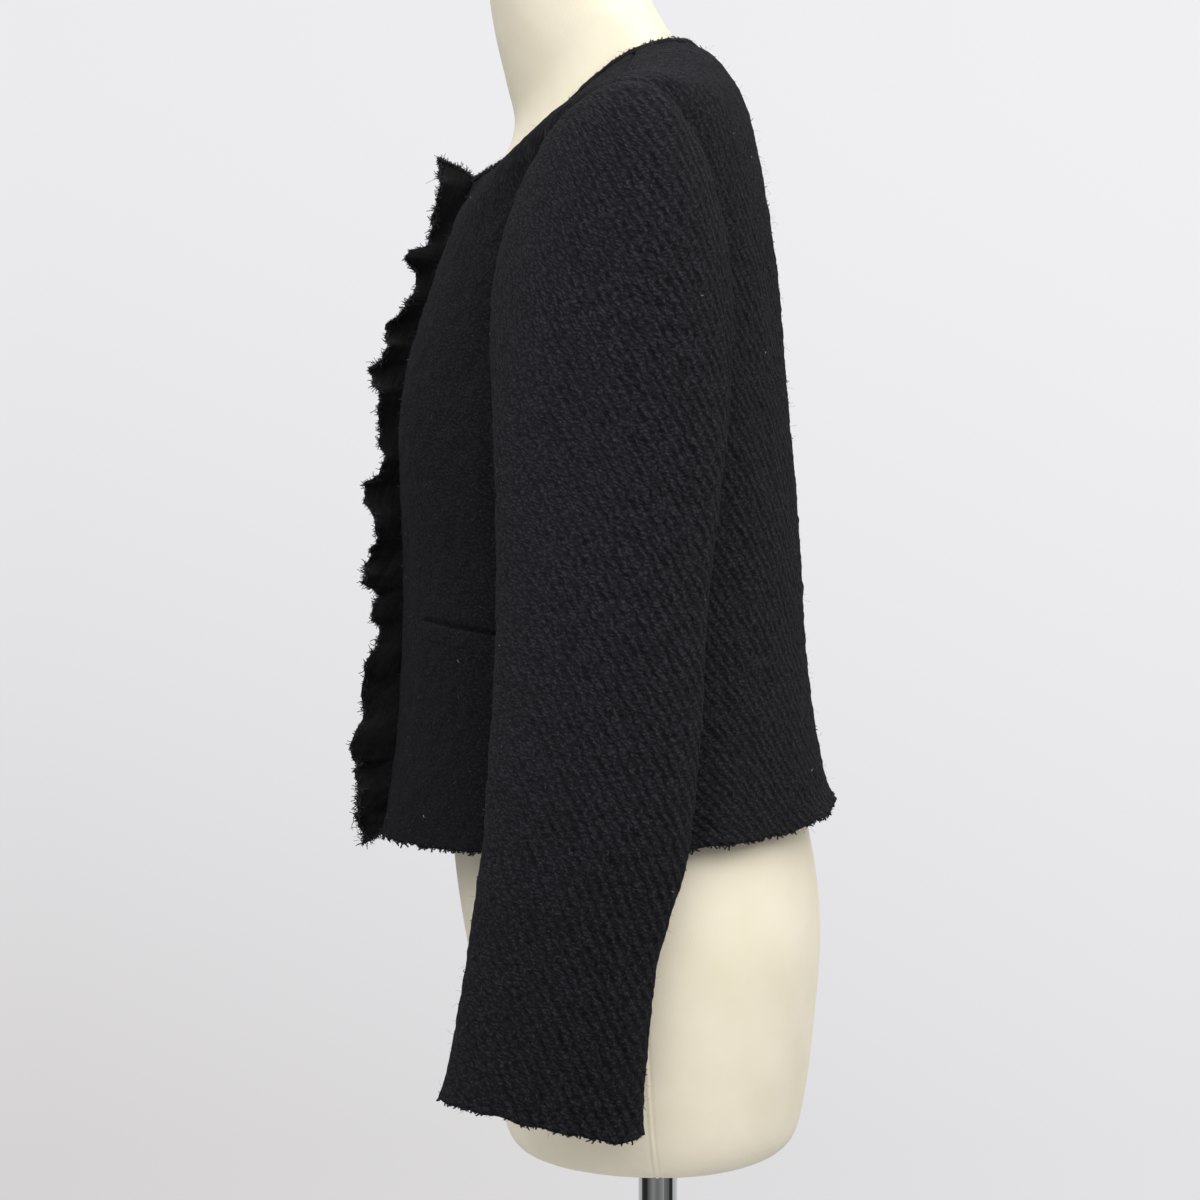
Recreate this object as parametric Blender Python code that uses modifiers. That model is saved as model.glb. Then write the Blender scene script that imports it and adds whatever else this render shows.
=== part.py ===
"""Cropped, collarless tweed jacket with frayed front frills, worn by a limbless dress form on its stand.

Metres, +Z up. The jacket's front faces -Y and the wearer's left is +X. The origin is the middle of
the base plate's underside, on the floor. Every cloth piece is a wall laid on one smooth surface,
the jacket block, whose rings run from the hem to the neckline.
"""

import math

import bmesh
import bpy
import numpy as np
from mathutils import Vector

# Cloth
TWEED = 0.0025  # wall of the tweed
SILK = 0.0010  # wall of the frill
BRAID = 0.0012  # wall of the neck band and the pocket welts
SEAM_GAP = 0.0004  # pieces stay this far apart at a seam
LAY_GAP = 0.0008  # what lies on a curved panel floats this far off it at most

# Rings of the jacket block, the cloth's inner face, from the hem to the neckline. A ring has a front
# point at x 0, a side point at x_side and a back point at x 0; square is its superellipse exponent
# and sag how far it hangs below a plain arch between its front and its side.
RING_COLUMNS = ("z_front", "y_front", "z_side", "x_side", "y_side", "z_back", "y_back", "square", "sag")
JACKET_RINGS = (
    (0.836, -0.1722, 0.836, 0.1790, -0.030, 0.845, 0.1090, 2.25, 0.000),
    (0.862, -0.1682, 0.862, 0.1755, -0.030, 0.871, 0.1025, 2.30, 0.000),
    (0.900, -0.1632, 0.900, 0.1710, -0.030, 0.906, 0.0962, 2.35, 0.000),
    (0.950, -0.1600, 0.950, 0.1670, -0.029, 0.953, 0.0903, 2.40, 0.000),
    (1.000, -0.1588, 1.000, 0.1650, -0.028, 1.001, 0.0880, 2.45, 0.000),
    (1.050, -0.1598, 1.050, 0.1655, -0.027, 1.050, 0.0845, 2.45, 0.000),
    (1.095, -0.1590, 1.095, 0.1670, -0.026, 1.095, 0.0805, 2.40, 0.000),
    (1.127, -0.1550, 1.140, 0.1680, -0.027, 1.140, 0.0768, 2.30, 0.000),
    (1.157, -0.1480, 1.195, 0.1720, -0.028, 1.187, 0.0730, 2.20, 0.001),
    (1.184, -0.1395, 1.245, 0.1790, -0.029, 1.230, 0.0670, 2.10, 0.002),
    (1.206, -0.1320, 1.280, 0.1840, -0.029, 1.268, 0.0600, 2.00, 0.004),
    (1.222, -0.1275, 1.293, 0.1470, -0.024, 1.296, 0.0530, 2.00, 0.007),
    (1.238, -0.1195, 1.306, 0.1100, -0.019, 1.320, 0.0390, 2.00, 0.010),
    (1.252, -0.1150, 1.321, 0.0740, -0.014, 1.337, 0.0205, 2.00, 0.014),
)
HEM, UNDERARM, SHOULDER, NECKLINE = 0, 6, 10, 13  # rows of the table above

# The front stands forward over the bust: how far, how wide across and up, and where.
BUST = {"rise": 0.0060, "x": 0.085, "z": 1.105, "spread_x": 0.050, "spread_z": 0.070}

BACK_KICK = {"rise": 0.012, "power": 6, "ends": 1.6}  # the hem lifts at the centre back

# Soft vertical drapes of the skirt of the jacket: angle round from the centre front in degrees,
# width in degrees, depth at the hem (out is positive) and the row where the drape dies out.
DRAPE_COLUMNS = ("angle", "width", "depth", "ends")
DRAPES = (
    (38.0, 12.0, -0.0030, 3.6),
    (62.0, 10.0, 0.0040, 4.2),
    (112.0, 11.0, 0.0050, 4.8),
    (134.0, 10.0, -0.0040, 3.8),
    (156.0, 12.0, 0.0030, 3.2),
)

# The armhole: how far it bites into the front and the back, as an angle from the side seam.
ARMHOLE_FRONT = math.radians(30.5)
ARMHOLE_BACK = math.radians(34)
ARMHOLE_STEPS = 8  # edge steps from the underarm to the shoulder, the same on panel and sleeve

# Rings of the hanging sleeve, from below the armhole to the cuff: the middle height, the front and
# back edges, the inner and outer sides, and how far the back dips, in degrees.
SLEEVE_COLUMNS = ("z", "y_front", "y_back", "x_inner", "x_outer", "tilt")
SLEEVE_RINGS = (
    (1.050, -0.0950, 0.0300, 0.1740, 0.2370, 0.0),
    (0.985, -0.0945, 0.0230, 0.1740, 0.2385, 1.0),
    (0.930, -0.0962, 0.0198, 0.1775, 0.2400, 2.5),
    (0.875, -0.0990, 0.0145, 0.1840, 0.2430, 4.5),
    (0.840, -0.1010, 0.0095, 0.1880, 0.2440, 6.0),
    (0.812, -0.1048, 0.0010, 0.1880, 0.2425, 8.0),
    (0.785, -0.1085, -0.0070, 0.1865, 0.2400, 10.0),
    (0.755, -0.1128, -0.0105, 0.1850, 0.2375, 11.5),
    (0.725, -0.1177, -0.0135, 0.1838, 0.2350, 12.5),
    (0.685, -0.1255, -0.0160, 0.1825, 0.2325, 13.5),
)
SLEEVE_SQUARE = 2.2  # superellipse exponent of its rings
SLEEVE_RADIUS = 0.035  # about that of its rings, for its seams' gap
CAP_ROWS, ARM_ROWS = 8, 12  # rows of the sleeve head, armhole to first ring, and of the rest

# The sleeve head: which way its cloth leaves the armhole over and under the arm and how far it leans
# forward, then how much that way and the hanging sleeve's own way weigh in the curve between them.
HEAD = {
    "over": (0.115, 0.0, 0.012),
    "under": (0.050, 0.0, -0.085),
    "forward": 0.020,
    "stiff": 0.35,
    "puff": 0.7,
    "hang": 1.1,
    "look_ahead": 0.3,
}
HEAD_STEP = math.pi / ARMHOLE_STEPS  # one edge step round the sleeve
SEAM_STEPS = 5  # the two sleeve seams lie this many steps round from the outside, front and back

# The frill's sewn edge: how far from the centre front it runs, as a length and as an angle of the
# block, and how much the part above the neckline stands up.
FRILL = {"x": 0.0042, "angle": 0.03, "stand": 0.9, "columns": 3, "rows_a_fold": 3}

# Folds of the left frill, from the neck to the hem: height, reach in front of the panel, and swing
# sideways. The right one has the same folds with the swing the other way round.
FRILL_COLUMNS = ("z", "reach", "swing")
FRILL_FOLDS = (
    (1.2620, 0.0235, 0.0032),
    (1.2390, 0.0185, 0.0165),
    (1.2200, 0.0130, 0.0036),
    (1.2000, 0.0220, 0.0180),
    (1.1860, 0.0080, 0.0040),
    (1.1700, 0.0125, 0.0165),
    (1.1550, 0.0195, 0.0036),
    (1.1300, 0.0240, 0.0165),
    (1.1120, 0.0125, 0.0032),
    (1.0900, 0.0130, 0.0173),
    (1.0730, 0.0120, 0.0040),
    (1.0520, 0.0240, 0.0165),
    (1.0340, 0.0165, 0.0032),
    (1.0130, 0.0220, 0.0173),
    (0.9960, 0.0225, 0.0036),
    (0.9870, 0.0165, 0.0165),
    (0.9610, 0.0145, 0.0040),
    (0.9410, 0.0205, 0.0173),
    (0.9180, 0.0205, 0.0032),
    (0.8870, 0.0260, 0.0165),
    (0.8740, 0.0240, 0.0036),
    (0.8550, 0.0185, 0.0165),
    (0.8450, 0.0180, 0.0040),
    (0.8350, 0.0080, 0.0054),
)

# Pocket: its two ends as angle round from the centre front and height, and the welt's depth.
POCKET = {"angle_in": 33.0, "angle_out": 74.0, "z_in": 0.971, "z_out": 0.959, "welt": 0.011}
NECK_BAND = 0.010  # width of the neck band
NECK_OPENING = 0.0065  # its two ends stop this far from the centre front, at the frills

# Rings of the dress form, from its underside to the top of its neck.
FORM_RINGS = (
    (0.6340, -0.0550, 0.6340, 0.0750, 0.000, 0.6340, 0.0480, 2.1, 0.000),
    (0.6352, -0.0800, 0.6352, 0.1170, 0.000, 0.6352, 0.0680, 2.1, 0.000),
    (0.6460, -0.0945, 0.6460, 0.1370, -0.002, 0.6460, 0.0855, 2.2, 0.000),
    (0.6750, -0.1020, 0.6750, 0.1510, -0.005, 0.6750, 0.0935, 2.2, 0.000),
    (0.7250, -0.1125, 0.7250, 0.1640, -0.008, 0.7250, 0.0995, 2.2, 0.000),
    (0.7750, -0.1230, 0.7750, 0.1700, -0.010, 0.7750, 0.1030, 2.2, 0.000),
    (0.8200, -0.1295, 0.8200, 0.1665, -0.012, 0.8200, 0.0990, 2.2, 0.000),
    (0.8600, -0.1310, 0.8600, 0.1560, -0.014, 0.8600, 0.0905, 2.2, 0.000),
    (0.9050, -0.1240, 0.9050, 0.1390, -0.016, 0.9050, 0.0800, 2.2, 0.000),
    (0.9500, -0.1150, 0.9500, 0.1260, -0.018, 0.9500, 0.0700, 2.2, 0.000),
    (1.0000, -0.1200, 1.0000, 0.1290, -0.020, 1.0000, 0.0680, 2.2, 0.000),
    (1.0500, -0.1380, 1.0500, 0.1400, -0.022, 1.0500, 0.0710, 2.2, 0.000),
    (1.0950, -0.1490, 1.0950, 0.1500, -0.024, 1.0950, 0.0725, 2.2, 0.000),
    (1.1260, -0.1480, 1.1400, 0.1560, -0.026, 1.1400, 0.0705, 2.2, 0.000),
    (1.1560, -0.1420, 1.1940, 0.1600, -0.028, 1.1860, 0.0670, 2.15, 0.001),
    (1.1820, -0.1340, 1.2400, 0.1640, -0.029, 1.2280, 0.0612, 2.1, 0.002),
    (1.2035, -0.1268, 1.2758, 0.1660, -0.029, 1.2655, 0.0548, 2.0, 0.004),
    (1.2190, -0.1226, 1.2906, 0.1420, -0.024, 1.2935, 0.0487, 2.0, 0.007),
    (1.2345, -0.1160, 1.3039, 0.1090, -0.019, 1.3178, 0.0355, 2.0, 0.010),
    (1.2485, -0.1110, 1.3186, 0.0735, -0.014, 1.3346, 0.0180, 2.0, 0.014),
    (1.2660, -0.0985, 1.3300, 0.0660, -0.020, 1.3440, 0.0085, 2.0, 0.010),
    (1.2880, -0.0915, 1.3435, 0.0605, -0.030, 1.3560, 0.0010, 2.0, 0.004),
    (1.3150, -0.0970, 1.3520, 0.0570, -0.044, 1.3700, -0.0060, 2.0, 0.000),
    (1.3450, -0.1040, 1.3680, 0.0550, -0.055, 1.3880, -0.0120, 2.0, 0.000),
    (1.3745, -0.1080, 1.3895, 0.0545, -0.062, 1.4050, -0.0160, 2.0, 0.000),
    (1.3858, -0.1030, 1.3988, 0.0465, -0.063, 1.4120, -0.0230, 2.0, 0.000),
    (1.3943, -0.0850, 1.4015, 0.0240, -0.063, 1.4087, -0.0410, 2.0, 0.000),
)

# Stand
POLE_RADIUS = 0.0125
POLE_IN_FORM = 0.060  # how far the pole goes up into the form
POLE_CLEARANCE = 0.0004
BASE_RADIUS = 0.165
BASE_THICKNESS = 0.009
SOCKET_RADIUS = 0.019
SOCKET_HEIGHT = 0.030

DERIVATIVE_STEP = 1e-4  # step of the numeric derivatives


# --- tables and surfaces ---------------------------------------------------------------------


def smooth_row(table, columns, row):
    """The table's values at a fractional row, on Catmull-Rom curves through its rows."""
    rows = np.array(table)
    last = len(rows) - 1
    row = min(max(row, 0.0), float(last))
    i = min(int(row), last - 1)
    t = row - i
    before = rows[i - 1] if i > 0 else 2 * rows[i] - rows[i + 1]
    after = rows[i + 2] if i + 2 <= last else 2 * rows[i + 1] - rows[i]
    a, b = rows[i], rows[i + 1]
    value = 0.5 * (
        2 * a
        + (b - before) * t
        + (2 * before - 5 * a + 4 * b - after) * t**2
        + (3 * a - before - 3 * b + after) * t**3
    )
    return dict(zip(columns, value))


def arch(y, ring):
    """Height of a ring at y, on the parabola through its front, side and back points, less its sag."""
    yf, ys, yb = ring["y_front"], ring["y_side"], ring["y_back"]
    along = min((y - yf) / (ys - yf), 1.0)
    return (
        ring["z_front"] * (y - ys) * (y - yb) / ((yf - ys) * (yf - yb))
        + ring["z_side"] * (y - yf) * (y - yb) / ((ys - yf) * (ys - yb))
        + ring["z_back"] * (y - yf) * (y - ys) / ((yb - yf) * (yb - ys))
        - ring["sag"] * 6.75 * along * (1 - along) ** 2
    )


def ring_point(ring, angle):
    """Point of a ring: angle 0 is the front, pi/2 the wearer's left side, pi the back."""
    power = 2.0 / ring["square"]
    c, s = math.cos(angle), math.sin(angle)
    reach = ring["y_front"] - ring["y_side"] if c > 0 else ring["y_back"] - ring["y_side"]
    y = ring["y_side"] + reach * abs(c) ** power
    x = math.copysign(ring["x_side"] * abs(s) ** power, s)
    return Vector((x, y, arch(y, ring)))


def drape_at(angle, row):
    """How far the skirt's soft drapes push the cloth out."""
    side = math.degrees(abs(math.remainder(angle, 2 * math.pi)))
    total = 0.0
    for values in DRAPES:
        drape = dict(zip(DRAPE_COLUMNS, values))
        fade = max(0.0, 1.0 - row / drape["ends"]) ** 2
        total += drape["depth"] * fade * math.exp(-(((side - drape["angle"]) / drape["width"]) ** 2))
    return total


def jacket_point(angle, row):
    """Point of the cloth's inner face."""
    point = ring_point(smooth_row(JACKET_RINGS, RING_COLUMNS, row), angle)
    if math.cos(angle) > 0:
        across = (abs(point.x) - BUST["x"]) / BUST["spread_x"]
        up = (point.z - BUST["z"]) / BUST["spread_z"]
        point.y -= BUST["rise"] * math.exp(-(across**2) - up**2)
    behind = max(0.0, -math.cos(angle)) ** BACK_KICK["power"]
    point.z += BACK_KICK["rise"] * behind * max(0.0, 1 - row / BACK_KICK["ends"]) ** 2
    push = drape_at(angle, row)
    out = Vector((point.x, point.y - JACKET_RINGS[HEM][RING_COLUMNS.index("y_side")], 0)).normalized()
    return point + out * push


def outward(surface, u, v):
    """Unit normal of a surface(u, v) whose u runs to the left seen from outside and v up."""
    along = surface(u + DERIVATIVE_STEP, v) - surface(u - DERIVATIVE_STEP, v)
    up = surface(u, v + DERIVATIVE_STEP) - surface(u, v - DERIVATIVE_STEP)
    return along.cross(up).normalized()


def jacket_moved_out(angle, row, distance):
    return jacket_point(angle, row) + outward(jacket_point, angle, row) * distance


def edge_angle(row, front):
    """Angle from the centre front (or back) to the panel's outer edge: side seam, armhole, shoulder."""
    ring = smooth_row(JACKET_RINGS, RING_COLUMNS, row)
    reach = abs((ring["y_front"] if front else ring["y_back"]) - ring["y_side"])
    seam = math.asin((0.5 * SEAM_GAP / reach) ** (ring["square"] / 2))
    bite = ARMHOLE_FRONT if front else ARMHOLE_BACK
    if UNDERARM < row < SHOULDER:
        middle, half = 0.5 * (UNDERARM + SHOULDER), 0.5 * (SHOULDER - UNDERARM)
        seam += bite * math.sqrt(1 - ((row - middle) / half) ** 2)
    return 0.5 * math.pi - seam


def panel_rows(below=6, beside=ARMHOLE_STEPS, above=4):
    """Rows of a front or back panel: even below the underarm and above the shoulder, and closer
    together at the armhole's two ends."""
    skirt = [UNDERARM * i / below for i in range(below)]
    turn = [0.5 - 0.5 * math.cos(math.pi * i / beside) for i in range(beside)]
    armhole = [UNDERARM + (SHOULDER - UNDERARM) * t for t in turn]
    yoke = [SHOULDER + (NECKLINE - SHOULDER) * i / above for i in range(above + 1)]
    return skirt + armhole + yoke


# --- Blender helpers -------------------------------------------------------------------------


def clear_scene():
    for old in list(bpy.data.objects):
        bpy.data.objects.remove(old)


def new_collection(name):
    collection = bpy.data.collections.new(name)
    bpy.context.scene.collection.children.link(collection)
    return collection


def finish_material(name, colour, roughness, metallic=0.0):
    material = bpy.data.materials.new(name)
    material.use_nodes = True
    shader = material.node_tree.nodes["Principled BSDF"]
    shader.inputs["Base Color"].default_value = (*colour, 1.0)
    shader.inputs["Roughness"].default_value = roughness
    shader.inputs["Metallic"].default_value = metallic
    return material


def object_from(mesh_builder, name, material, collection):
    """A named object whose mesh is what mesh_builder leaves in a bmesh."""
    mesh = bpy.data.meshes.new(name)
    shape = bmesh.new()
    mesh_builder(shape)
    shape.to_mesh(mesh)
    shape.free()
    mesh.materials.append(material)
    mesh.shade_smooth()
    made = bpy.data.objects.new(name, mesh)
    collection.objects.link(made)
    return made


def cloth(name, surface, columns, rows, wall, material, collection, reverse=False):
    """A sheet laid on surface(u, v), u and v from 0 to 1, with a wall thickened to its outer side."""

    def build(shape):
        bmesh.ops.create_grid(shape, x_segments=columns, y_segments=rows, size=0.5)
        for vertex in shape.verts:
            vertex.co = surface(vertex.co.x + 0.5, vertex.co.y + 0.5)
        if reverse:
            bmesh.ops.reverse_faces(shape, faces=shape.faces)

    piece = object_from(build, name, material, collection)
    thicken = piece.modifiers.new("wall", "SOLIDIFY")
    thicken.thickness = wall
    thicken.offset = 1.0
    thicken.use_rim = True
    return piece


def mirrored(surface):
    """The same surface on the wearer's right."""

    def other(u, v):
        point = surface(u, v)
        point.x = -point.x
        return point

    return other


# --- jacket ----------------------------------------------------------------------------------


def make_fronts(material, collection):
    rows = panel_rows()

    def left_front(u, v):
        row = np.interp(v * (len(rows) - 1), range(len(rows)), rows)
        ring = smooth_row(JACKET_RINGS, RING_COLUMNS, row)
        inner = math.asin((0.5 * SEAM_GAP / ring["x_side"]) ** (ring["square"] / 2))
        return jacket_point(inner + u * (edge_angle(row, True) - inner), row)

    for side, surface in (("left", left_front), ("right", mirrored(left_front))):
        reverse = side == "right"
        cloth(f"front_{side}", surface, 12, len(rows) - 1, TWEED, material, collection, reverse)


def make_back(material, collection):
    rows = panel_rows()

    def back(u, v):
        row = np.interp(v * (len(rows) - 1), range(len(rows)), rows)
        across = 1 - 2 * u
        point = jacket_point(math.pi - abs(across) * edge_angle(row, False), row)
        point.x = math.copysign(point.x, across)
        return point

    cloth("back", back, 20, len(rows) - 1, TWEED, material, collection)


def armhole_place(turn):
    """Angle and row of the armhole edge: turn 0 is the shoulder, pi/2 the front, pi the underarm."""
    middle, half = 0.5 * (UNDERARM + SHOULDER), 0.5 * (SHOULDER - UNDERARM)
    front = math.sin(turn) > 0
    bite = (ARMHOLE_FRONT if front else ARMHOLE_BACK) * abs(math.sin(turn))
    return 0.5 * math.pi + (-bite if front else bite), middle + half * math.cos(turn)


def armhole_point(turn):
    """Inner edge of the sleeve head. It follows the panels' armhole edge, and under the arm it steps
    out past their wall, because the sleeve's own wall hangs down beside them there."""
    under = (0.5 - 0.5 * math.cos(turn)) ** 3
    return jacket_moved_out(*armhole_place(turn), under * (2 * TWEED + LAY_GAP))


def head_direction(turn):
    """Which way the cloth of the sleeve head leaves the armhole, and how fast."""
    over = 0.5 + 0.5 * math.cos(turn)
    leave = Vector(HEAD["over"]) * over + Vector(HEAD["under"]) * (1 - over)
    return leave + Vector((0, -HEAD["forward"] * math.sin(turn), 0))


def armhole_offset(turn):
    """How far from the armhole edge the sleeve starts, so that its wall clears the panel's."""
    rise = outward(jacket_point, *armhole_place(turn)).dot(head_direction(turn).normalized())
    return SEAM_GAP + TWEED * max(0.0, rise)


def sleeve_ring_point(row, turn):
    ring = smooth_row(SLEEVE_RINGS, SLEEVE_COLUMNS, row)
    power = 2.0 / SLEEVE_SQUARE
    c, s = math.cos(turn), math.sin(turn)
    half_x = 0.5 * (ring["x_outer"] - ring["x_inner"])
    half_y = 0.5 * (ring["y_back"] - ring["y_front"])
    x = 0.5 * (ring["x_outer"] + ring["x_inner"]) + math.copysign(half_x * abs(c) ** power, c)
    off = -math.copysign(half_y * abs(s) ** power, s)
    y = 0.5 * (ring["y_back"] + ring["y_front"]) + off
    return Vector((x, y, ring["z"] - off * math.tan(math.radians(ring["tilt"]))))


def sleeve_point(turn, row):
    """Point of the sleeve's inner face: rows 0 to 1 are the head, from the armhole down to the
    first ring, and every further row is one ring."""
    if row >= 1:
        return sleeve_ring_point(row - 1, turn)
    start, end = armhole_point(turn), sleeve_ring_point(0, turn)
    chord = (end - start).length
    leave = head_direction(turn)
    leave = leave.normalized() * (HEAD["stiff"] * chord + HEAD["puff"] * leave.length)
    arrive = (sleeve_ring_point(HEAD["look_ahead"], turn) - end).normalized() * chord * HEAD["hang"]
    start = start + leave.normalized() * armhole_offset(turn)
    t = row
    return (
        start * (2 * t**3 - 3 * t**2 + 1)
        + leave * (t**3 - 2 * t**2 + t)
        + end * (-2 * t**3 + 3 * t**2)
        + arrive * (t**3 - t**2)
    )


def make_sleeves(material, collection):
    head = [i / CAP_ROWS for i in range(CAP_ROWS)]
    last = len(SLEEVE_RINGS)
    rows = head + [1 + (last - 1) * i / ARM_ROWS for i in range(ARM_ROWS + 1)]
    gap = 0.5 * SEAM_GAP / SLEEVE_RADIUS  # half the seam's gap as an angle of the sleeve

    def sheet(begin, end):
        def surface(u, v):
            row = np.interp(v * (len(rows) - 1), range(len(rows)), rows[::-1])
            return sleeve_point(begin + u * (end - begin), row)

        return surface

    seam = SEAM_STEPS * HEAD_STEP
    upper = sheet(seam - gap, -seam + gap)
    under = sheet(2 * math.pi - seam - gap, seam + gap)
    upper_columns, under_columns = 2 * SEAM_STEPS, 2 * (ARMHOLE_STEPS - SEAM_STEPS)
    for name, left, columns in (("upper", upper, upper_columns), ("under", under, under_columns)):
        for side, surface in (("left", left), ("right", mirrored(left))):
            node = f"sleeve_{name}_{side}"
            reverse = side == "right"
            cloth(node, surface, columns, len(rows) - 1, TWEED, material, collection, reverse)


def make_neck_band(material, collection):
    x_side = RING_COLUMNS.index("x_side")
    yoke_row = JACKET_RINGS[NECKLINE - 1][x_side] - JACKET_RINGS[NECKLINE][x_side]

    def band(u, v):
        opening = NECK_OPENING / JACKET_RINGS[NECKLINE][x_side]
        angle = opening + u * (2 * math.pi - 2 * opening)
        row = NECKLINE - NECK_BAND / yoke_row * (1 - v)
        lift = jacket_moved_out(min(angle, 2 * math.pi - angle), row, TWEED + LAY_GAP)
        lift.x = math.copysign(lift.x, math.sin(angle))
        return lift

    cloth("neck_band", band, 48, 2, BRAID, material, collection)


def make_welts(material, collection):
    def welt(u, v):
        angle = math.radians(POCKET["angle_in"] + u * (POCKET["angle_out"] - POCKET["angle_in"]))
        z = POCKET["z_in"] + u * (POCKET["z_out"] - POCKET["z_in"]) - POCKET["welt"] * (1 - v)
        heights = [ring[0] for ring in JACKET_RINGS]
        row = np.interp(z, heights, range(len(heights)))
        return jacket_moved_out(angle, row, TWEED + LAY_GAP)

    for side, surface in (("left", welt), ("right", mirrored(welt))):
        cloth(f"pocket_welt_{side}", surface, 8, 1, BRAID, material, collection, side == "right")


def make_frills(material, collection):
    """Gathered strips that stand forward from the front edges, one edge sewn on."""
    heights = [ring[0] for ring in JACKET_RINGS]

    def frill(u, v):
        fold = smooth_row(FRILL_FOLDS, FRILL_COLUMNS, v * (len(FRILL_FOLDS) - 1))
        row = np.interp(fold["z"], heights, range(len(heights)))
        root = jacket_moved_out(FRILL["angle"], row, TWEED + LAY_GAP)
        over = max(0.0, fold["z"] - heights[NECKLINE])
        start = Vector((FRILL["x"], root.y, root.z))
        swing = fold["swing"] + SILK - FRILL["x"]
        return start + Vector((swing, -fold["reach"], FRILL["stand"] * over)) * u

    rows = FRILL["rows_a_fold"] * (len(FRILL_FOLDS) - 1)
    for side, surface in (("left", frill), ("right", mirrored(frill))):
        cloth(f"frill_{side}", surface, FRILL["columns"], rows, SILK, material, collection, side == "right")


# --- dress form and stand --------------------------------------------------------------------


def make_form(material, collection, cutters):
    columns, rows = 32, 40
    last = len(FORM_RINGS) - 1

    def build(shape):
        bmesh.ops.create_grid(shape, x_segments=columns, y_segments=rows, size=0.5)
        for vertex in shape.verts:
            turn, height = (vertex.co.x + 0.5) * 2 * math.pi, (vertex.co.y + 0.5) * last
            vertex.co = ring_point(smooth_row(FORM_RINGS, RING_COLUMNS, height), turn)
        bmesh.ops.remove_doubles(shape, verts=shape.verts, dist=1e-6)
        bmesh.ops.holes_fill(shape, edges=shape.edges, sides=0)
        bmesh.ops.recalc_face_normals(shape, faces=shape.faces)

    form = object_from(build, "torso_form", material, collection)
    underside = FORM_RINGS[0][0]
    bpy.ops.mesh.primitive_cylinder_add(
        radius=POLE_RADIUS + POLE_CLEARANCE, depth=2 * (POLE_IN_FORM + POLE_CLEARANCE), vertices=32
    )
    cutter = bpy.context.object
    cutter.name = "pole_socket_cutter"
    cutter.location = (0, 0, underside)
    cutter.hide_render = True
    cutter.display_type = "WIRE"
    for home in list(cutter.users_collection):
        home.objects.unlink(cutter)
    cutters.objects.link(cutter)
    cut = form.modifiers.new("pole socket", "BOOLEAN")
    cut.operation = "DIFFERENCE"
    cut.object = cutter


def turned(name, profile, material, collection, steps=48):
    """A solid of revolution about Z from a profile of (radius, height), listed top to bottom."""

    def build(shape):
        points = [shape.verts.new((radius, 0, height)) for radius, height in profile]
        for upper, lower in zip(points, points[1:]):
            shape.edges.new((upper, lower))

    made = object_from(build, name, material, collection)
    spin = made.modifiers.new("turn", "SCREW")
    spin.steps = spin.render_steps = steps
    spin.use_merge_vertices = True
    spin.merge_threshold = 0.00005
    return made


def make_stand(chrome, collection):
    edge = 0.002
    seat = BASE_THICKNESS + LAY_GAP
    top = FORM_RINGS[0][0] + POLE_IN_FORM
    turned(
        "base_plate",
        (
            (0, BASE_THICKNESS),
            (BASE_RADIUS - edge, BASE_THICKNESS),
            (BASE_RADIUS, BASE_THICKNESS - edge),
            (BASE_RADIUS, edge / 2),
            (BASE_RADIUS - edge / 2, 0),
            (0, 0),
        ),
        chrome,
        collection,
    )
    turned(
        "pole_socket",
        (
            (POLE_RADIUS + LAY_GAP, seat + SOCKET_HEIGHT),
            (SOCKET_RADIUS - edge, seat + SOCKET_HEIGHT),
            (SOCKET_RADIUS, seat + SOCKET_HEIGHT - edge),
            (SOCKET_RADIUS, seat),
            (POLE_RADIUS + LAY_GAP, seat),
            (POLE_RADIUS + LAY_GAP, seat + SOCKET_HEIGHT),
        ),
        chrome,
        collection,
        32,
    )
    turned(
        "pole",
        ((0, top), (POLE_RADIUS, top), (POLE_RADIUS, seat), (0, seat)),
        chrome,
        collection,
        32,
    )


def main():
    clear_scene()
    jacket = new_collection("tweed_jacket_on_form")
    cutters = new_collection("cutters")
    tweed = finish_material("black_tweed", (0.014, 0.014, 0.018), 0.9)
    silk = finish_material("black_silk", (0.004, 0.004, 0.004), 0.6)
    jersey = finish_material("cream_jersey", (0.80, 0.72, 0.55), 0.85)
    chrome = finish_material("chrome", (0.75, 0.76, 0.78), 0.12, 1.0)
    make_fronts(tweed, jacket)
    make_back(tweed, jacket)
    make_sleeves(tweed, jacket)
    make_neck_band(tweed, jacket)
    make_welts(tweed, jacket)
    make_frills(silk, jacket)
    make_form(jersey, jacket, cutters)
    make_stand(chrome, jacket)


main()
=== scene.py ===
import math

import bpy
import numpy as np
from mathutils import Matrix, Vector


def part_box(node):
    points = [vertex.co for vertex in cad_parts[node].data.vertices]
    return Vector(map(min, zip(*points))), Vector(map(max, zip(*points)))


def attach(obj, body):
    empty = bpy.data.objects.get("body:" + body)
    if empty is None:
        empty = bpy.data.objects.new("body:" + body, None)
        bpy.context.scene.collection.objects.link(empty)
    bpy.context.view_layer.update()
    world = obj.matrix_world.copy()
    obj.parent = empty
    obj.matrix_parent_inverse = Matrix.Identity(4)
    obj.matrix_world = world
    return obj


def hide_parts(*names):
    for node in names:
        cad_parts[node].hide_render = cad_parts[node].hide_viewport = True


# Cropped tweed jacket on a dress form: cloth shells, frayed edges, jersey cover, chrome stand, light, camera.
# Metres, +Z up. The jacket's front faces -Y and the wearer's left is +X.

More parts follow.
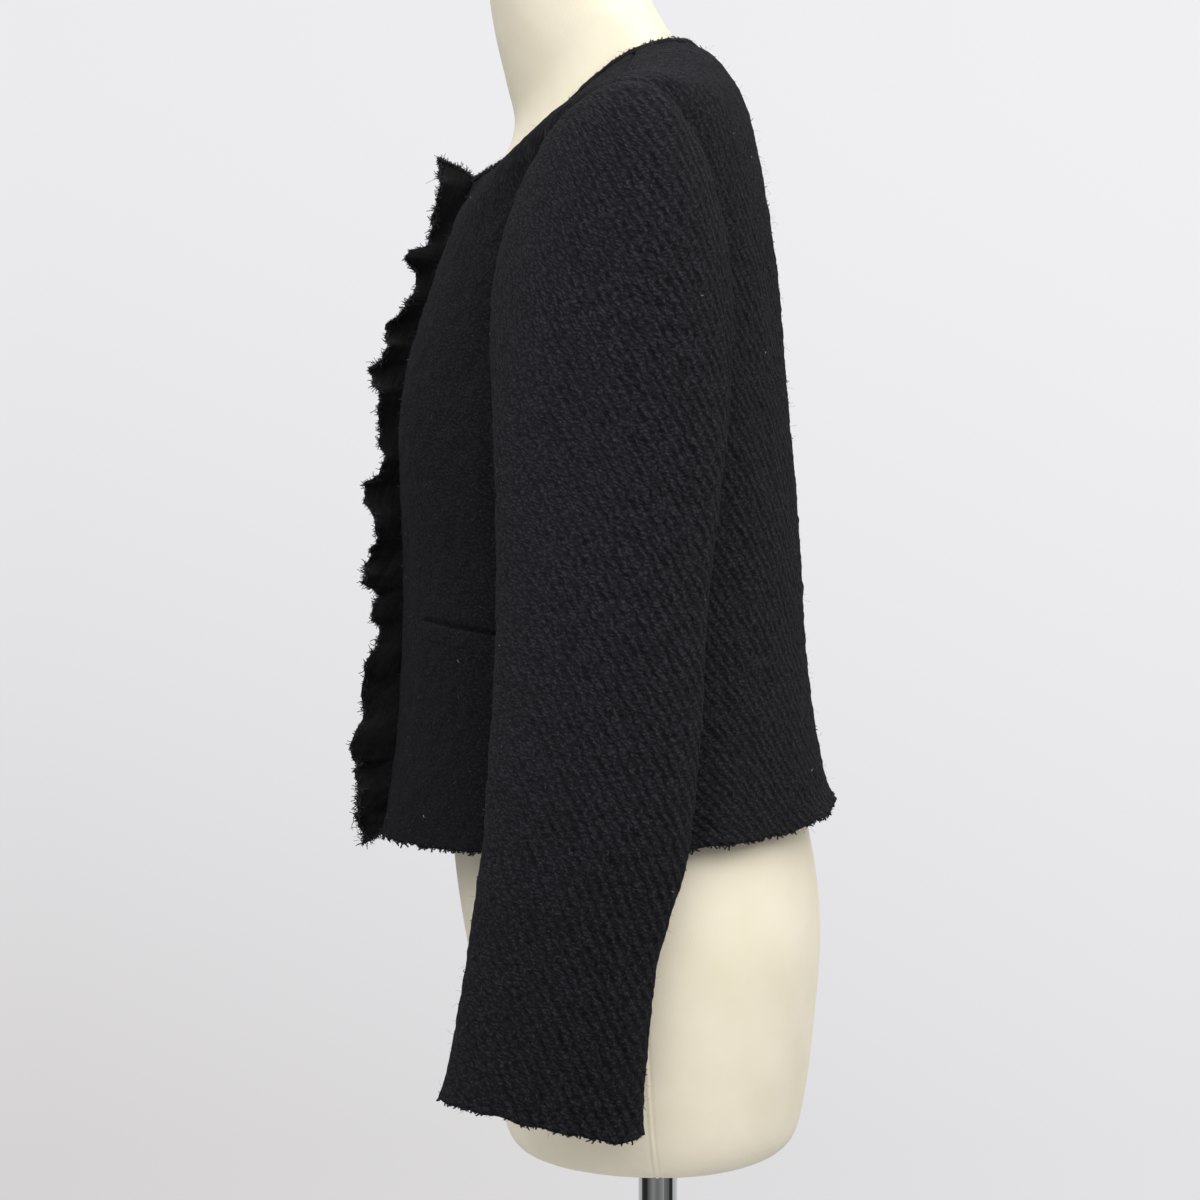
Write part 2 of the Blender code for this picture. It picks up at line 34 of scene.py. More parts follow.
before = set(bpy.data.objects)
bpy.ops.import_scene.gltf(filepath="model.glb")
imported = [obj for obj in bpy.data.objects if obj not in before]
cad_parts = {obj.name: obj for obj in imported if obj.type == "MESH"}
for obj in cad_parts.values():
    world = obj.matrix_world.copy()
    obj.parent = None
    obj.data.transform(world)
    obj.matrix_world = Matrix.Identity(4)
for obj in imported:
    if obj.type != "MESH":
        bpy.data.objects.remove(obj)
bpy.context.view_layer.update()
print("frame loaded")


# Shapes that every piece is worked out from

ringColumns = ("zFront", "yFront", "zSide", "xSide", "ySide", "zBack", "yBack", "square", "sag")
column = {name: number for number, name in enumerate(ringColumns)}
jacketRings = np.array([  # the cloth's inner face, from the hem to the neckline
    (0.836, -0.1722, 0.836, 0.1790, -0.030, 0.845, 0.1090, 2.25, 0.000),
    (0.862, -0.1682, 0.862, 0.1755, -0.030, 0.871, 0.1025, 2.30, 0.000),
    (0.900, -0.1632, 0.900, 0.1710, -0.030, 0.906, 0.0962, 2.35, 0.000),
    (0.950, -0.1600, 0.950, 0.1670, -0.029, 0.953, 0.0903, 2.40, 0.000),
    (1.000, -0.1588, 1.000, 0.1650, -0.028, 1.001, 0.0880, 2.45, 0.000),
    (1.050, -0.1598, 1.050, 0.1655, -0.027, 1.050, 0.0845, 2.45, 0.000),
    (1.095, -0.1590, 1.095, 0.1670, -0.026, 1.095, 0.0805, 2.40, 0.000),
    (1.127, -0.1550, 1.140, 0.1680, -0.027, 1.140, 0.0768, 2.30, 0.000),
    (1.157, -0.1480, 1.195, 0.1720, -0.028, 1.187, 0.0730, 2.20, 0.001),
    (1.184, -0.1395, 1.245, 0.1790, -0.029, 1.230, 0.0670, 2.10, 0.002),
    (1.206, -0.1320, 1.280, 0.1840, -0.029, 1.268, 0.0600, 2.00, 0.004),
    (1.222, -0.1275, 1.293, 0.1470, -0.024, 1.296, 0.0530, 2.00, 0.007),
    (1.238, -0.1195, 1.306, 0.1100, -0.019, 1.320, 0.0390, 2.00, 0.010),
    (1.252, -0.1150, 1.321, 0.0740, -0.014, 1.334, 0.0205, 2.00, 0.014),
])
block = {
    "underarm": 6, "shoulder": 10, "neckline": 13,  # rows of the table
    "seamGap": 0.0001, "biteFront": math.radians(30.5), "biteBack": math.radians(34),
    "bust": (0.0060, 0.085, 1.105, 0.050, 0.070),  # rise, x, z, spread in x, spread in z
    "kick": (0.012, 6, 1.6),  # the hem's lift at the centre back, its sharpness, the row where it ends
    "drapes": ((38, 12, -0.0030, 3.6), (62, 10, 0.0040, 4.2), (112, 11, 0.0050, 4.8),
               (134, 10, -0.0040, 3.8), (156, 12, 0.0030, 3.2)),  # angle, width, depth at the hem, last row
}


def alongTable(table, row):  # Catmull-Rom curves through the table's rows, at an array of fractional rows
    last = len(table) - 1
    row = np.clip(row, 0, last)
    i = np.minimum(row.astype(int), last - 1)
    t = (row - i)[..., None]
    padded = np.vstack([2 * table[:1] - table[1:2], table, 2 * table[-1:] - table[-2:-1]])
    before, a, b, after = (padded[i + k] for k in range(4))
    return 0.5 * (2 * a + (b - before) * t + (2 * before - 5 * a + 4 * b - after) * t**2
                  + (3 * a - before - 3 * b + after) * t**3)


def ringPoints(table, angle, row):
    # superellipse rings, arched in height by a parabola through front, side and back
    zFront, yFront, zSide, xSide, ySide, zBack, yBack, square, sag = np.moveaxis(alongTable(table, row), -1, 0)
    c, s = np.cos(angle), np.sin(angle)
    reach = np.where(c > 0, yFront, yBack) - ySide
    y = ySide + reach * np.abs(c) ** (2 / square)
    x = xSide * np.sign(s) * np.abs(s) ** (2 / square)
    share = np.minimum((y - yFront) / (ySide - yFront), 1)
    z = (zFront * (y - ySide) * (y - yBack) / ((yFront - ySide) * (yFront - yBack))
         + zSide * (y - yFront) * (y - yBack) / ((ySide - yFront) * (ySide - yBack))
         + zBack * (y - yFront) * (y - ySide) / ((yBack - yFront) * (yBack - ySide))
         - sag * 6.75 * share * (1 - share) ** 2)
    return np.stack([x, y, z], -1)


def jacketPoints(angle, row):  # the block's rings, with the bust, the back hem's kick and the skirt's drapes
    angle, row = np.broadcast_arrays(np.asarray(angle, float), np.asarray(row, float))
    points = ringPoints(jacketRings, angle, row)
    rise, bustX, bustZ, spreadX, spreadZ = block["bust"]
    out, up = (np.abs(points[..., 0]) - bustX) / spreadX, (points[..., 2] - bustZ) / spreadZ
    bump = np.exp(-out**2 - up**2)
    points[..., 1] -= rise * bump * (np.cos(angle) > 0)
    lift, power, ends = block["kick"]
    points[..., 2] += lift * np.maximum(0, -np.cos(angle)) ** power * np.maximum(0, 1 - row / ends) ** 2
    side = np.degrees(np.abs((angle + np.pi) % (2 * np.pi) - np.pi))
    push = sum(depth * np.maximum(0, 1 - row / last) ** 2 * np.exp(-((side - at) / width) ** 2)
               for at, width, depth, last in block["drapes"])
    out = points[..., :2] - np.array([0, jacketRings[0, column["ySide"]]])
    out /= np.linalg.norm(out, axis=-1, keepdims=True)
    points[..., :2] += out * push[..., None]
    return points


def unit(v):  # vectors brought to length 1
    return v / np.maximum(np.linalg.norm(v, axis=-1, keepdims=True), 1e-12)


def outwardOf(surface, u, v, step=1e-4):  # normal of a surface whose u runs to the right seen from outside, v up
    du = surface(u + step, v) - surface(u - step, v)
    dv = surface(u, v + step) - surface(u, v - step)
    return unit(np.cross(du, dv))


def edgeAngle(row, front):  # from the centre line to the side seam, the armhole or the shoulder seam
    ring = alongTable(jacketRings, row)
    reach = np.abs(ring[..., column["yFront" if front else "yBack"]] - ring[..., column["ySide"]])
    seam = np.arcsin((0.5 * block["seamGap"] / reach) ** (ring[..., column["square"]] / 2))
    middle = 0.5 * (block["underarm"] + block["shoulder"])
    half = 0.5 * (block["shoulder"] - block["underarm"])
    bow = np.sqrt(np.maximum(0, 1 - ((row - middle) / half) ** 2))
    return 0.5 * np.pi - seam - block["biteFront" if front else "biteBack"] * bow


def evenRows(curve, start, end, step):  # rows whose points lie the same distance apart along a curve of rows
    dense = np.linspace(start, end, 600)
    length = along(curve(dense))
    count = 6 * max(2, round(length[-1] / step / 6))
    return np.interp(np.linspace(0, length[-1], count + 1), length, dense)


def smoothStep(t):
    return t * t * (3 - 2 * t)


def along(line):  # metres gone from the first point of a line, at each of its points
    return np.concatenate([[0], np.cumsum(np.linalg.norm(np.diff(line, axis=0), axis=-1))])


def softNoise(x, y, size, seed):  # smooth noise from -1 to 1, random values on a square grid of that size
    rng = np.random.default_rng(seed)
    values = rng.uniform(-1, 1, (64, 64))
    x, y = np.asarray(x) / size, np.asarray(y) / size
    i, j = np.floor(x).astype(int), np.floor(y).astype(int)
    fx, fy = smoothStep(x - i), smoothStep(y - j)
    a, b = values[i % 64, j % 64], values[(i + 1) % 64, j % 64]
    c, d = values[i % 64, (j + 1) % 64], values[(i + 1) % 64, (j + 1) % 64]
    return (a * (1 - fx) + b * fx) * (1 - fy) + (c * (1 - fx) + d * fx) * fy


# Meshes

def newPiece(name, points, faces, material, uv=None):
    mesh = bpy.data.meshes.new(name)
    mesh.from_pydata(points.reshape(-1, 3).tolist(), [], faces)
    if uv is not None:
        corner = np.empty(len(mesh.loops), np.int32)
        mesh.loops.foreach_get("vertex_index", corner)
        mesh.uv_layers.new(name="clothMetres").data.foreach_set("uv", uv.reshape(-1, 2)[corner].ravel())
    mesh.shade_smooth()
    mesh.materials.append(material)
    piece = bpy.data.objects.new(name, mesh)
    bpy.context.scene.collection.objects.link(piece)
    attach(piece, "root")
    return piece


def gridFaces(rows, columns, first=0):  # quads of a grid whose columns run to the right seen from outside
    i, j = np.meshgrid(np.arange(rows - 1), np.arange(columns - 1), indexing="ij")
    a = (first + i * columns + j).ravel()
    return np.stack([a, a + 1, a + columns + 1, a + columns], 1)


def shell(name, outer, inner, uv, material, slot, coarse=6, flip=False, **values):
    # a closed sheet of cloth: a fine outer grid, an inner grid with every sixth point, and a rim between them
    rows, columns = outer.shape[:2]
    innerGrid, innerUv = inner[::coarse, ::coarse], uv[::coarse, ::coarse]
    r, c = innerGrid.shape[:2]
    start = rows * columns
    faces = [gridFaces(rows, columns).tolist(), gridFaces(r, c, start)[:, ::-1].tolist()]

    def rim(outerLine, innerLine):
        spans = len(innerLine) - 1
        fine = [outerLine[k * coarse:(k + 1) * coarse + 1] for k in range(spans)]
        return [[int(i) for i in (*run, innerLine[k + 1], innerLine[k])] for k, run in enumerate(fine)]

    grid = np.arange(start).reshape(rows, columns)
    low = start + np.arange(r * c).reshape(r, c)
    faces.append([run[::-1] for run in rim(grid[0], low[0])])
    faces.append(rim(grid[-1], low[-1]))
    faces.append(rim(grid[:, 0], low[:, 0]))
    faces.append([run[::-1] for run in rim(grid[:, -1], low[:, -1])])
    allFaces = [face for group in faces for face in group]
    if flip:
        allFaces = [face[::-1] for face in allFaces]
    points = np.vstack([outer.reshape(-1, 3), innerGrid.reshape(-1, 3)])
    allUv = np.vstack([uv.reshape(-1, 2), innerUv.reshape(-1, 2)])
    piece = newPiece(name, points, allFaces, material, allUv)
    for key, value in values.items():
        value = np.broadcast_to(value, outer.shape[:2])
        both = np.concatenate([value.ravel(), value[::coarse, ::coarse].ravel()])
        piece.data.attributes.new(key, "FLOAT", "POINT").data.foreach_set("value", both)
    return piece


def gridNormals(points):
    return unit(np.cross(np.gradient(points, axis=1), np.gradient(points, axis=0)))


def gridLengths(points, axis):  # metres gone along each row (axis 1) or up each column (axis 0) of a grid
    steps = np.cumsum(np.linalg.norm(np.diff(points, axis=axis), axis=2), axis=axis)
    return np.concatenate([0 * steps[:, :1] if axis else 0 * steps[:1], steps], axis=axis)


def clothUv(points, centre):  # metres along the weft from a centre column, and up the warp from the lowest row
    u = gridLengths(points, 1)
    u -= u[:, centre:centre + 1]
    weft = unit(np.gradient(points, axis=1))[:-1]
    rise = np.diff(points, axis=0)
    rise = rise - weft * (rise * weft).sum(2, keepdims=True)
    v = np.concatenate([np.zeros((1, points.shape[1])), np.cumsum(np.linalg.norm(rise, axis=2), axis=0)])
    return np.stack([u, v], -1)


def edgeDistance(points, sides):  # metres to the nearest of the named edges of a grid
    u, v = gridLengths(points, 1), gridLengths(points, 0)
    found = {"left": u, "right": u[:, -1:] - u, "bottom": v, "top": v[-1:] - v}
    return np.minimum.reduce([found[side] for side in sides])


def creaseDepth(points, creases):
    # each crease is a soft trough or ridge: depth * exp(-(distance / width)^2), fading out at its two ends
    total = np.zeros(points.shape[:2])
    for line, width, depth in creases:
        line = np.asarray(line)
        lengths = np.linalg.norm(np.diff(line, axis=0), axis=1)
        best, where, gone = np.full(points.shape[:2], 1e9), np.zeros(points.shape[:2]), 0.0
        for start, end, length in zip(line[:-1], line[1:], lengths):
            way = (end - start) / length
            t = np.clip(((points - start) * way).sum(-1), 0, length)
            distance = np.linalg.norm(points - start - t[..., None] * way, axis=-1)
            nearer = distance < best
            best = np.where(nearer, distance, best)
            where = np.where(nearer, (gone + t) / lengths.sum(), where)
            gone += length
        total += depth * np.exp(-(best / width) ** 2) * np.sin(np.pi * where) ** 0.8
    return total


# Materials

def linear(hexColour):
    values = [int(hexColour[k:k + 2], 16) / 255 for k in (1, 3, 5)]
    return tuple(v / 12.92 if v <= 0.04045 else ((v + 0.055) / 1.055) ** 2.4 for v in values) + (1.0,)


def addNode(tree, kind, settings=None, inputs=None):  # inputs are values, or outputs of other nodes
    node = tree.nodes.new("ShaderNode" + kind)
    for key, value in (settings or {}).items():
        setattr(node, key, value)
    for key, value in (inputs or {}).items():
        if isinstance(value, bpy.types.NodeSocket):
            tree.links.new(value, node.inputs[key])
        else:
            node.inputs[key].default_value = value
    return node


def newMaterial(name, **sockets):
    material = bpy.data.materials.new(name)
    material.use_nodes = True
    shader = material.node_tree.nodes["Principled BSDF"]
    for key, value in sockets.items():
        shader.inputs[key].default_value = value
    return material, material.node_tree, shader


def calc(tree, operation, a, b=0.0, c=0.0):
    return addNode(tree, "Math", {"operation": operation}, {0: a, 1: b, 2: c}).outputs[0]


def noise(tree, place, scale, detail, dimensions="2D", output="Fac", **more):
    return addNode(tree, "TexNoise", {"noise_dimensions": dimensions},
                   {"Vector": place, "Scale": scale, "Detail": detail, **more}).outputs[output]


def colourRamp(tree, factor, *stops):  # stops are a place and a colour, from the lowest place to the highest
    node = addNode(tree, "ValToRGB", {}, {0: factor})
    ramp = node.color_ramp.elements
    for index, (place, colour) in enumerate(stops):
        stop = ramp[0] if index == 0 else ramp[-1] if index == len(stops) - 1 else ramp.new(place)
        stop.position, stop.color = place, linear(colour) if isinstance(colour, str) else colour
    return node.outputs[0]


def mapRange(tree, value, low, high, smooth=False):  # 0 at low, 1 at high
    kind = "SMOOTHSTEP" if smooth else "LINEAR"
    return addNode(tree, "MapRange", {"interpolation_type": kind},
                   {"Value": value, "From Min": low, "From Max": high}).outputs[0]


def blend(tree, factor, a, b):
    return addNode(tree, "Mix", {"data_type": "RGBA"}, {"Factor": factor, "A": a, "B": b}).outputs[2]


def finishShader(tree, shader, colour, height=None, distance=0.0, strength=1.0):  # colour, and perhaps a bump
    tree.links.new(colour, shader.inputs["Base Color"])
    if height is not None:
        bump = addNode(tree, "Bump", {}, {"Height": height, "Distance": distance, "Strength": strength})
        tree.links.new(bump.outputs[0], shader.inputs["Normal"])


def pointValue(tree, name):
    return addNode(tree, "Attribute", {"attribute_name": name}).outputs["Fac"]


def clothPlace(tree):
    return addNode(tree, "UVMap", {"uv_map": "clothMetres"}).outputs[0]


def objectPlace(tree):
    return addNode(tree, "TexCoord").outputs["Object"]


weave = {
    "slant": math.radians(33), "wale": 0.0060, "nub": (0.0024, 0.0022),  # slope and spacing of wales, nub's size
    # the hollow colour is painted shade for the hollows and grooves; the light colour is partly paler yarn and
    # partly painted light on the highest nubs
    "paintedHollowShade": "#131316", "yarn": "#252529", "light": "#3e3d43",
    "roughness": 0.95, "bump": 0.0006,
}


def waleRidge(u, v):  # 0 in the grooves between the wales, which run from upper left to lower right, 1 on top
    across = (u * math.cos(weave["slant"]) + v * math.sin(weave["slant"])) / weave["wale"]
    return 0.5 + 0.5 * np.cos(2 * np.pi * across)


def tweedMaterial():
    # wool tweed in a chunky twill: matt nubs of yarn, uneven in size and shade, and fine fibre over all. The
    # colour
    # follows the relief: near-black painted shade in the hollows between the nubs and in the grooves between the
    # wales, deeper where the cloth's waleDepth is high, and a paler top on the highest nubs, partly their own
    # paler yarn and partly painted light
    material, tree, shader = newMaterial("nubbyTwillTweed", **{
        "Roughness": weave["roughness"], "Specular IOR Level": 0.03,
        "Sheen Weight": 0.018, "Sheen Roughness": 0.35})
    uv, depth, mouth = clothPlace(tree), pointValue(tree, "waleDepth"), pointValue(tree, "pocketMouth")
    wander = noise(tree, uv, 150, 2, output="Color")
    centred = addNode(tree, "VectorMath", {"operation": "SUBTRACT"}, {0: wander, 1: (0.5, 0.5, 0.5)}).outputs[0]
    shift = addNode(tree, "VectorMath", {"operation": "MULTIPLY_ADD"},
                    {0: centred, 1: (0.0042, 0.0042, 0), 2: uv}).outputs[0]
    sloped = addNode(tree, "Mapping", {"vector_type": "POINT"},
                     {"Vector": shift, "Rotation": (0, 0, -weave["slant"])}).outputs[0]
    across, up, _ = addNode(tree, "SeparateXYZ", {}, {0: sloped}).outputs
    ridge = calc(tree, "COSINE", calc(tree, "MULTIPLY", across, 2 * math.pi / weave["wale"]))
    groove = calc(tree, "MULTIPLY_ADD", ridge, -0.5, 0.5)
    broken = noise(tree, uv, 110, 2)
    cellX = calc(tree, "MULTIPLY", across, 1 / weave["nub"][0])
    cellY = calc(tree, "MULTIPLY_ADD", cellX, 0.5, calc(tree, "MULTIPLY", up, 1 / weave["nub"][1]))
    cell = addNode(tree, "CombineXYZ", {}, {0: cellX, 1: cellY}).outputs[0]
    nubs = addNode(tree, "TexVoronoi", {"voronoi_dimensions": "2D"},
                   {"Vector": cell, "Scale": 1.0, "Randomness": 0.9})
    nub = mapRange(tree, nubs.outputs["Distance"], 0.68, 0.1, True)
    own = addNode(tree, "SeparateXYZ", {}, {0: nubs.outputs["Color"]}).outputs[0]
    fibre = noise(tree, uv, 900, 4, Roughness=0.8)
    sunk = calc(tree, "MULTIPLY", calc(tree, "MULTIPLY", groove, broken), calc(tree, "MULTIPLY", depth, 1.05))
    # painted shade: the pocket slit is darkened in the colour through the relief, and dented in the bump
    sunk = calc(tree, "MULTIPLY_ADD", mouth, 0.5, sunk)
    body = calc(tree, "SUBTRACT", calc(tree, "MULTIPLY", nub, calc(tree, "MULTIPLY_ADD", own, 0.42, 0.36)), sunk)
    relief = calc(tree, "MULTIPLY_ADD", fibre, 1.6, body)
    # painted shade: the ramp turns low relief dark, so hollows, wale grooves and the pocket slit are shaded in
    # the colour; pieces with shallow wales come out a little darker
    shown = calc(tree, "MULTIPLY", relief, calc(tree, "MULTIPLY_ADD", depth, 0.06, 0.50))
    shade = colourRamp(tree, shown, (0.20, weave["paintedHollowShade"]), (0.57, weave["yarn"]), (1.0, weave["light"]))
    # painted shade: the colour is scaled by a per-point tone, darker towards the cloth's foot and on the fronts
    paintedShadeColour = addNode(tree, "VectorMath", {"operation": "SCALE"},
                    {0: shade, "Scale": pointValue(tree, "napTone")}).outputs[0]
    finishShader(tree, shader, paintedShadeColour, relief, weave["bump"])
    return material


def threadMaterial(name, colour, roughness):  # spun wool or silk ends, darker and lighter by the hair
    material, tree, shader = newMaterial(name, Roughness=roughness)
    mottle = noise(tree, objectPlace(tree), 900, 1, "3D")
    finishShader(tree, shader, colourRamp(tree, mottle, (0, "#060607"), (1, colour)))
    return material


def silkMaterial():  # black raw silk, plain weave with slubs, a soft low sheen
    material, tree, shader = newMaterial("blackRawSilk", **{
        "Roughness": 0.85, "Sheen Weight": 0.02, "Sheen Roughness": 0.5, "Specular IOR Level": 0.06})
    uv = clothPlace(tree)
    stretched = addNode(tree, "Mapping", {}, {"Vector": uv, "Scale": (1, 0.18, 1)}).outputs[0]
    slub = noise(tree, stretched, 1500, 3)
    mixed = calc(tree, "MULTIPLY", calc(tree, "ADD", slub, noise(tree, uv, 130, 2)), 0.5)
    finishShader(tree, shader, colourRamp(tree, mixed, (0.3, "#070707"), (0.75, "#1c1b1c")), slub, 0.0004)
    return material


def jerseyMaterial():  # cream cotton jersey stretched over padding: fine ribs 0.9 mm apart, matt
    material, tree, shader = newMaterial("creamJersey", **{
        "Roughness": 0.88, "Sheen Weight": 0.08, "Specular IOR Level": 0.3})
    uv = clothPlace(tree)
    around, up, _ = addNode(tree, "SeparateXYZ", {}, {0: uv}).outputs
    rib = calc(tree, "SINE", calc(tree, "MULTIPLY", around, 2 * math.pi / 0.0009))
    loop = calc(tree, "SINE", calc(tree, "MULTIPLY", up, 2 * math.pi / 0.0011))
    knit = calc(tree, "MULTIPLY_ADD", loop, 0.5, rib)
    shade = colourRamp(tree, noise(tree, uv, 14, 3, "3D"), (0.3, "#e2d9c0"), (0.7, "#ebe3cd"))
    finishShader(tree, shader, shade, knit, 0.00006, 0.5)
    return material


def chromeMaterial():  # bright chrome plate on steel, wiped many times: faint smears in its gloss
    material, tree, shader = newMaterial("polishedChrome", **{"Metallic": 1.0, "Base Color": linear("#d6d7da")})
    wiped = addNode(tree, "Mapping", {}, {"Vector": objectPlace(tree), "Scale": (1, 1, 0.2)}).outputs[0]
    gloss = addNode(tree, "MapRange", {},
                    {"Value": noise(tree, wiped, 60, 3, "3D"), "To Min": 0.012, "To Max": 0.035})
    tree.links.new(gloss.outputs[0], shader.inputs["Roughness"])
    return material


tweed, silk, jersey, chrome = tweedMaterial(), silkMaterial(), jerseyMaterial(), chromeMaterial()
woolEnds = threadMaterial("tweedWoolEnds", "#2e2e33", 0.9)
silkEnds = threadMaterial("rawSilkEnds", "#2c2b2c", 0.8)
lintWhite, _, _ = newMaterial("paleLint", **{"Roughness": 0.9, "Base Color": linear("#b9b8b4")})  # white fluff
print("materials made")


# Tweed panels

cloth = {
    "wall": 0.0025, "step": 0.0017, "roll": 0.0022,  # wall, mesh step, width of a rolled edge
    "sewn": ("left", "right", "top"),  # the edges of a panel that roll into a seam; the bottom is raw
    "relief": (0.0002, 0.0007), "nubs": 0.00050, "lumps": 0.0005,  # heights of wales, least and most, nubs, lumps
    # painted shade by height: the cloth's colour darkens below the first height, down to the last value at the
    # foot
    "nap": (0.68, 1.02, 0.70),  # height where it is darkest, height where it is fully light, tone at the foot
}


def clothRelief(uv, depth, seed):
    # wales as soft ridges, deeper where depth is high, nubs 4 mm across, and lumps 8 mm across
    u, v = uv[..., 0], uv[..., 1]
    uneven = 0.8 + 0.35 * softNoise(u, v, 0.012, seed)
    low, high = cloth["relief"]
    return ((low + (high - low) * depth) * waleRidge(u, v) * uneven
            + cloth["nubs"] * (0.6 + 0.4 * depth) * softNoise(u, v, 0.0045, seed + 2)
            + cloth["lumps"] * softNoise(u, v, 0.0085, seed + 1))


def napTone(points, shadeTone):  # painted shade: the colour darkens towards the cloth's foot, as if less light reaches it there
    low, high, footShadeTone = cloth["nap"]
    return shadeTone * (footShadeTone + (1 - footShadeTone) * np.clip((points[..., 2] - low) / (high - low), 0, 1))


def rawEdge(points, normals):  # the lowest 8 mm flare out by 1.3 mm, and the cut edge wanders up and down
    up, at = gridLengths(points, 0), along(points[0])
    wander = softNoise(at, 0 * at, 0.005, 81) + 0.7 * softNoise(at, 0 * at, 0.021, 82)
    flare = 0.0013 * np.exp(-((up / 0.0045) ** 2)) * (1 + 0.5 * wander)
    drop = 0.0008 * np.exp(-((up / 0.0030) ** 2)) * wander
    down = unit(points[0] - points[4])
    return points + normals * flare[..., None] + down * drop[..., None]


def clothPiece(name, points, normals, uv, depth, creases, seed, mirror, mouth=0.0, shadeTone=1.0):
    # the wall stands outward from the smooth surface; its edges roll down over 2 mm, so seams read as valleys
    sunk = creaseDepth(points, creases)
    points = rawEdge(points, normals)
    close = np.clip(1 - edgeDistance(points, cloth["sewn"]) / cloth["roll"], 0, 1)
    # the slit is pressed in here; its mark also goes to the shader, which paints shade into it
    thick = cloth["wall"] * (1 - 0.65 * close**2) + clothRelief(uv, depth, seed) * (1 - close) - 0.0009 * mouth
    outer = points + normals * (thick + sunk)[..., None]
    inner = points + normals * (sunk - 0.0002)[..., None]
    if mirror:
        outer, inner = outer * [-1, 1, 1], inner * [-1, 1, 1]
    # painted shade: the tone attribute darkens the cloth's colour towards its foot
    piece = shell(name, outer, inner, uv, tweed, "tweed", flip=mirror, waleDepth=depth, pocketMouth=mouth,
                  napTone=napTone(points, shadeTone))
    normals = normals * ([-1, 1, 1] if mirror else 1)
    return {"piece": piece, "outer": outer, "inner": inner, "normals": normals}


def onBlock(*places):  # crease points given as degrees round from the centre front, and a row of the block
    return [jacketPoints(math.radians(angle), row) for angle, row in places]


# the pocket's angles and heights are given for its inner end, then its outer end
pocket = {"angles": (33, 74), "heights": (0.971, 0.959), "welt": 0.011, "mouth": 0.0030}
blockHeights = jacketRings[:, 0]


# the same mark presses the slit in and paints shade into it
def pocketMouth(angle, points):  # 1 in the open slit above the welt, 0 away from it; widest near its inner end
    (inner, outer), (zIn, zOut) = np.radians(pocket["angles"]), pocket["heights"]
    across = (angle - inner) / (outer - inner)
    above = points[..., 2] - (zIn + across * (zOut - zIn))
    ends = np.clip(across * 9, 0, 1) ** 0.5 * np.clip((1 - across) * 9, 0, 1)
    tall = pocket["mouth"] * ends * np.clip(1.6 - across, 0, 1)
    middle = 0.5 * tall - 0.0004
    inside = np.clip(1.5 - np.abs(above - middle) / (0.5 * tall + 0.0004), 0, 1)
    return np.where((across > 0) & (across < 1), inside, 0)


bodyCreases = [  # line, width, depth; troughs are negative
    (onBlock((66, 7.4), (52, 6.6), (40, 6.0)), 0.011, -0.0011),
    (onBlock((70, 6.2), (58, 5.2), (50, 4.4)), 0.014, 0.0011),
    (onBlock((58, 8.8), (52, 8.0), (50, 7.0)), 0.010, 0.0010),
    (onBlock((16, 4.4), (38, 4.1), (60, 4.3)), 0.012, -0.0007),
    (onBlock((14, 2.0), (34, 1.8), (52, 2.0)), 0.009, -0.0005),
    (onBlock((124, 8.6), (130, 7.4), (132, 6.0)), 0.013, -0.0016),
    (onBlock((136, 8.8), (142, 7.6), (146, 6.2)), 0.012, 0.0012),
    (onBlock((108, 5.6), (118, 4.6), (122, 3.2)), 0.015, -0.0016),
    (onBlock((100, 4.2), (106, 3.0), (108, 1.8)), 0.014, 0.0014),
    (onBlock((150, 5.0), (162, 4.6), (176, 4.7)), 0.016, -0.0009),
]

panelRows = {
    "front": evenRows(lambda row: jacketPoints(0.6, row), 0, block["neckline"], cloth["step"]),
    "back": evenRows(lambda row: jacketPoints(2.6, row), 0, block["neckline"], cloth["step"]),
}
panelColumns = {"front": 126, "back": 204}


def makeFront(side):
    row = panelRows["front"][:, None]
    ring = alongTable(jacketRings, row)
    first = np.arcsin((0.5 * block["seamGap"] / ring[..., column["xSide"]]) ** (ring[..., column["square"]] / 2))
    angle = first + np.linspace(0, 1, panelColumns["front"] + 1) * (edgeAngle(row, True) - first)
    row = np.broadcast_to(row, angle.shape)
    points, normals = jacketPoints(angle, row), outwardOf(jacketPoints, angle, row)
    uv = clothUv(points, 0) * ([-1, 1] if side == "Right" else [1, 1])
    shadeTone = np.interp(points[..., 2], (0.86, 1.26), (0.47, 0.68))  # painted shade: the fronts are darker than the rest, most of all low down
    made = clothPiece("front" + side, points, normals, uv, 0.05, bodyCreases,
                      11 if side == "Left" else 12, side == "Right", pocketMouth(angle, points), shadeTone)
    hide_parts("front_" + side.lower())
    return made


def makeBack():
    row = panelRows["back"][:, None]
    share = np.linspace(-1, 1, panelColumns["back"] + 1)
    angle = np.pi + share * edgeAngle(row, False)
    row = np.broadcast_to(row, angle.shape)
    points, normals = jacketPoints(angle, row), outwardOf(jacketPoints, angle, row)
    # angles past pi lie on the wearer's right, which is to the right seen from behind
    uv = clothUv(points, panelColumns["back"] // 2)
    mirroredCreases = [([p * [-1, 1, 1] for p in line], width, depth) for line, width, depth in bodyCreases]
    depth = 1 - 0.5 * np.clip((row - 7) / 3, 0, 1)
    made = clothPiece("backPanel", points, normals, uv, depth, bodyCreases + mirroredCreases, 13, False)
    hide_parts("back")
    return made


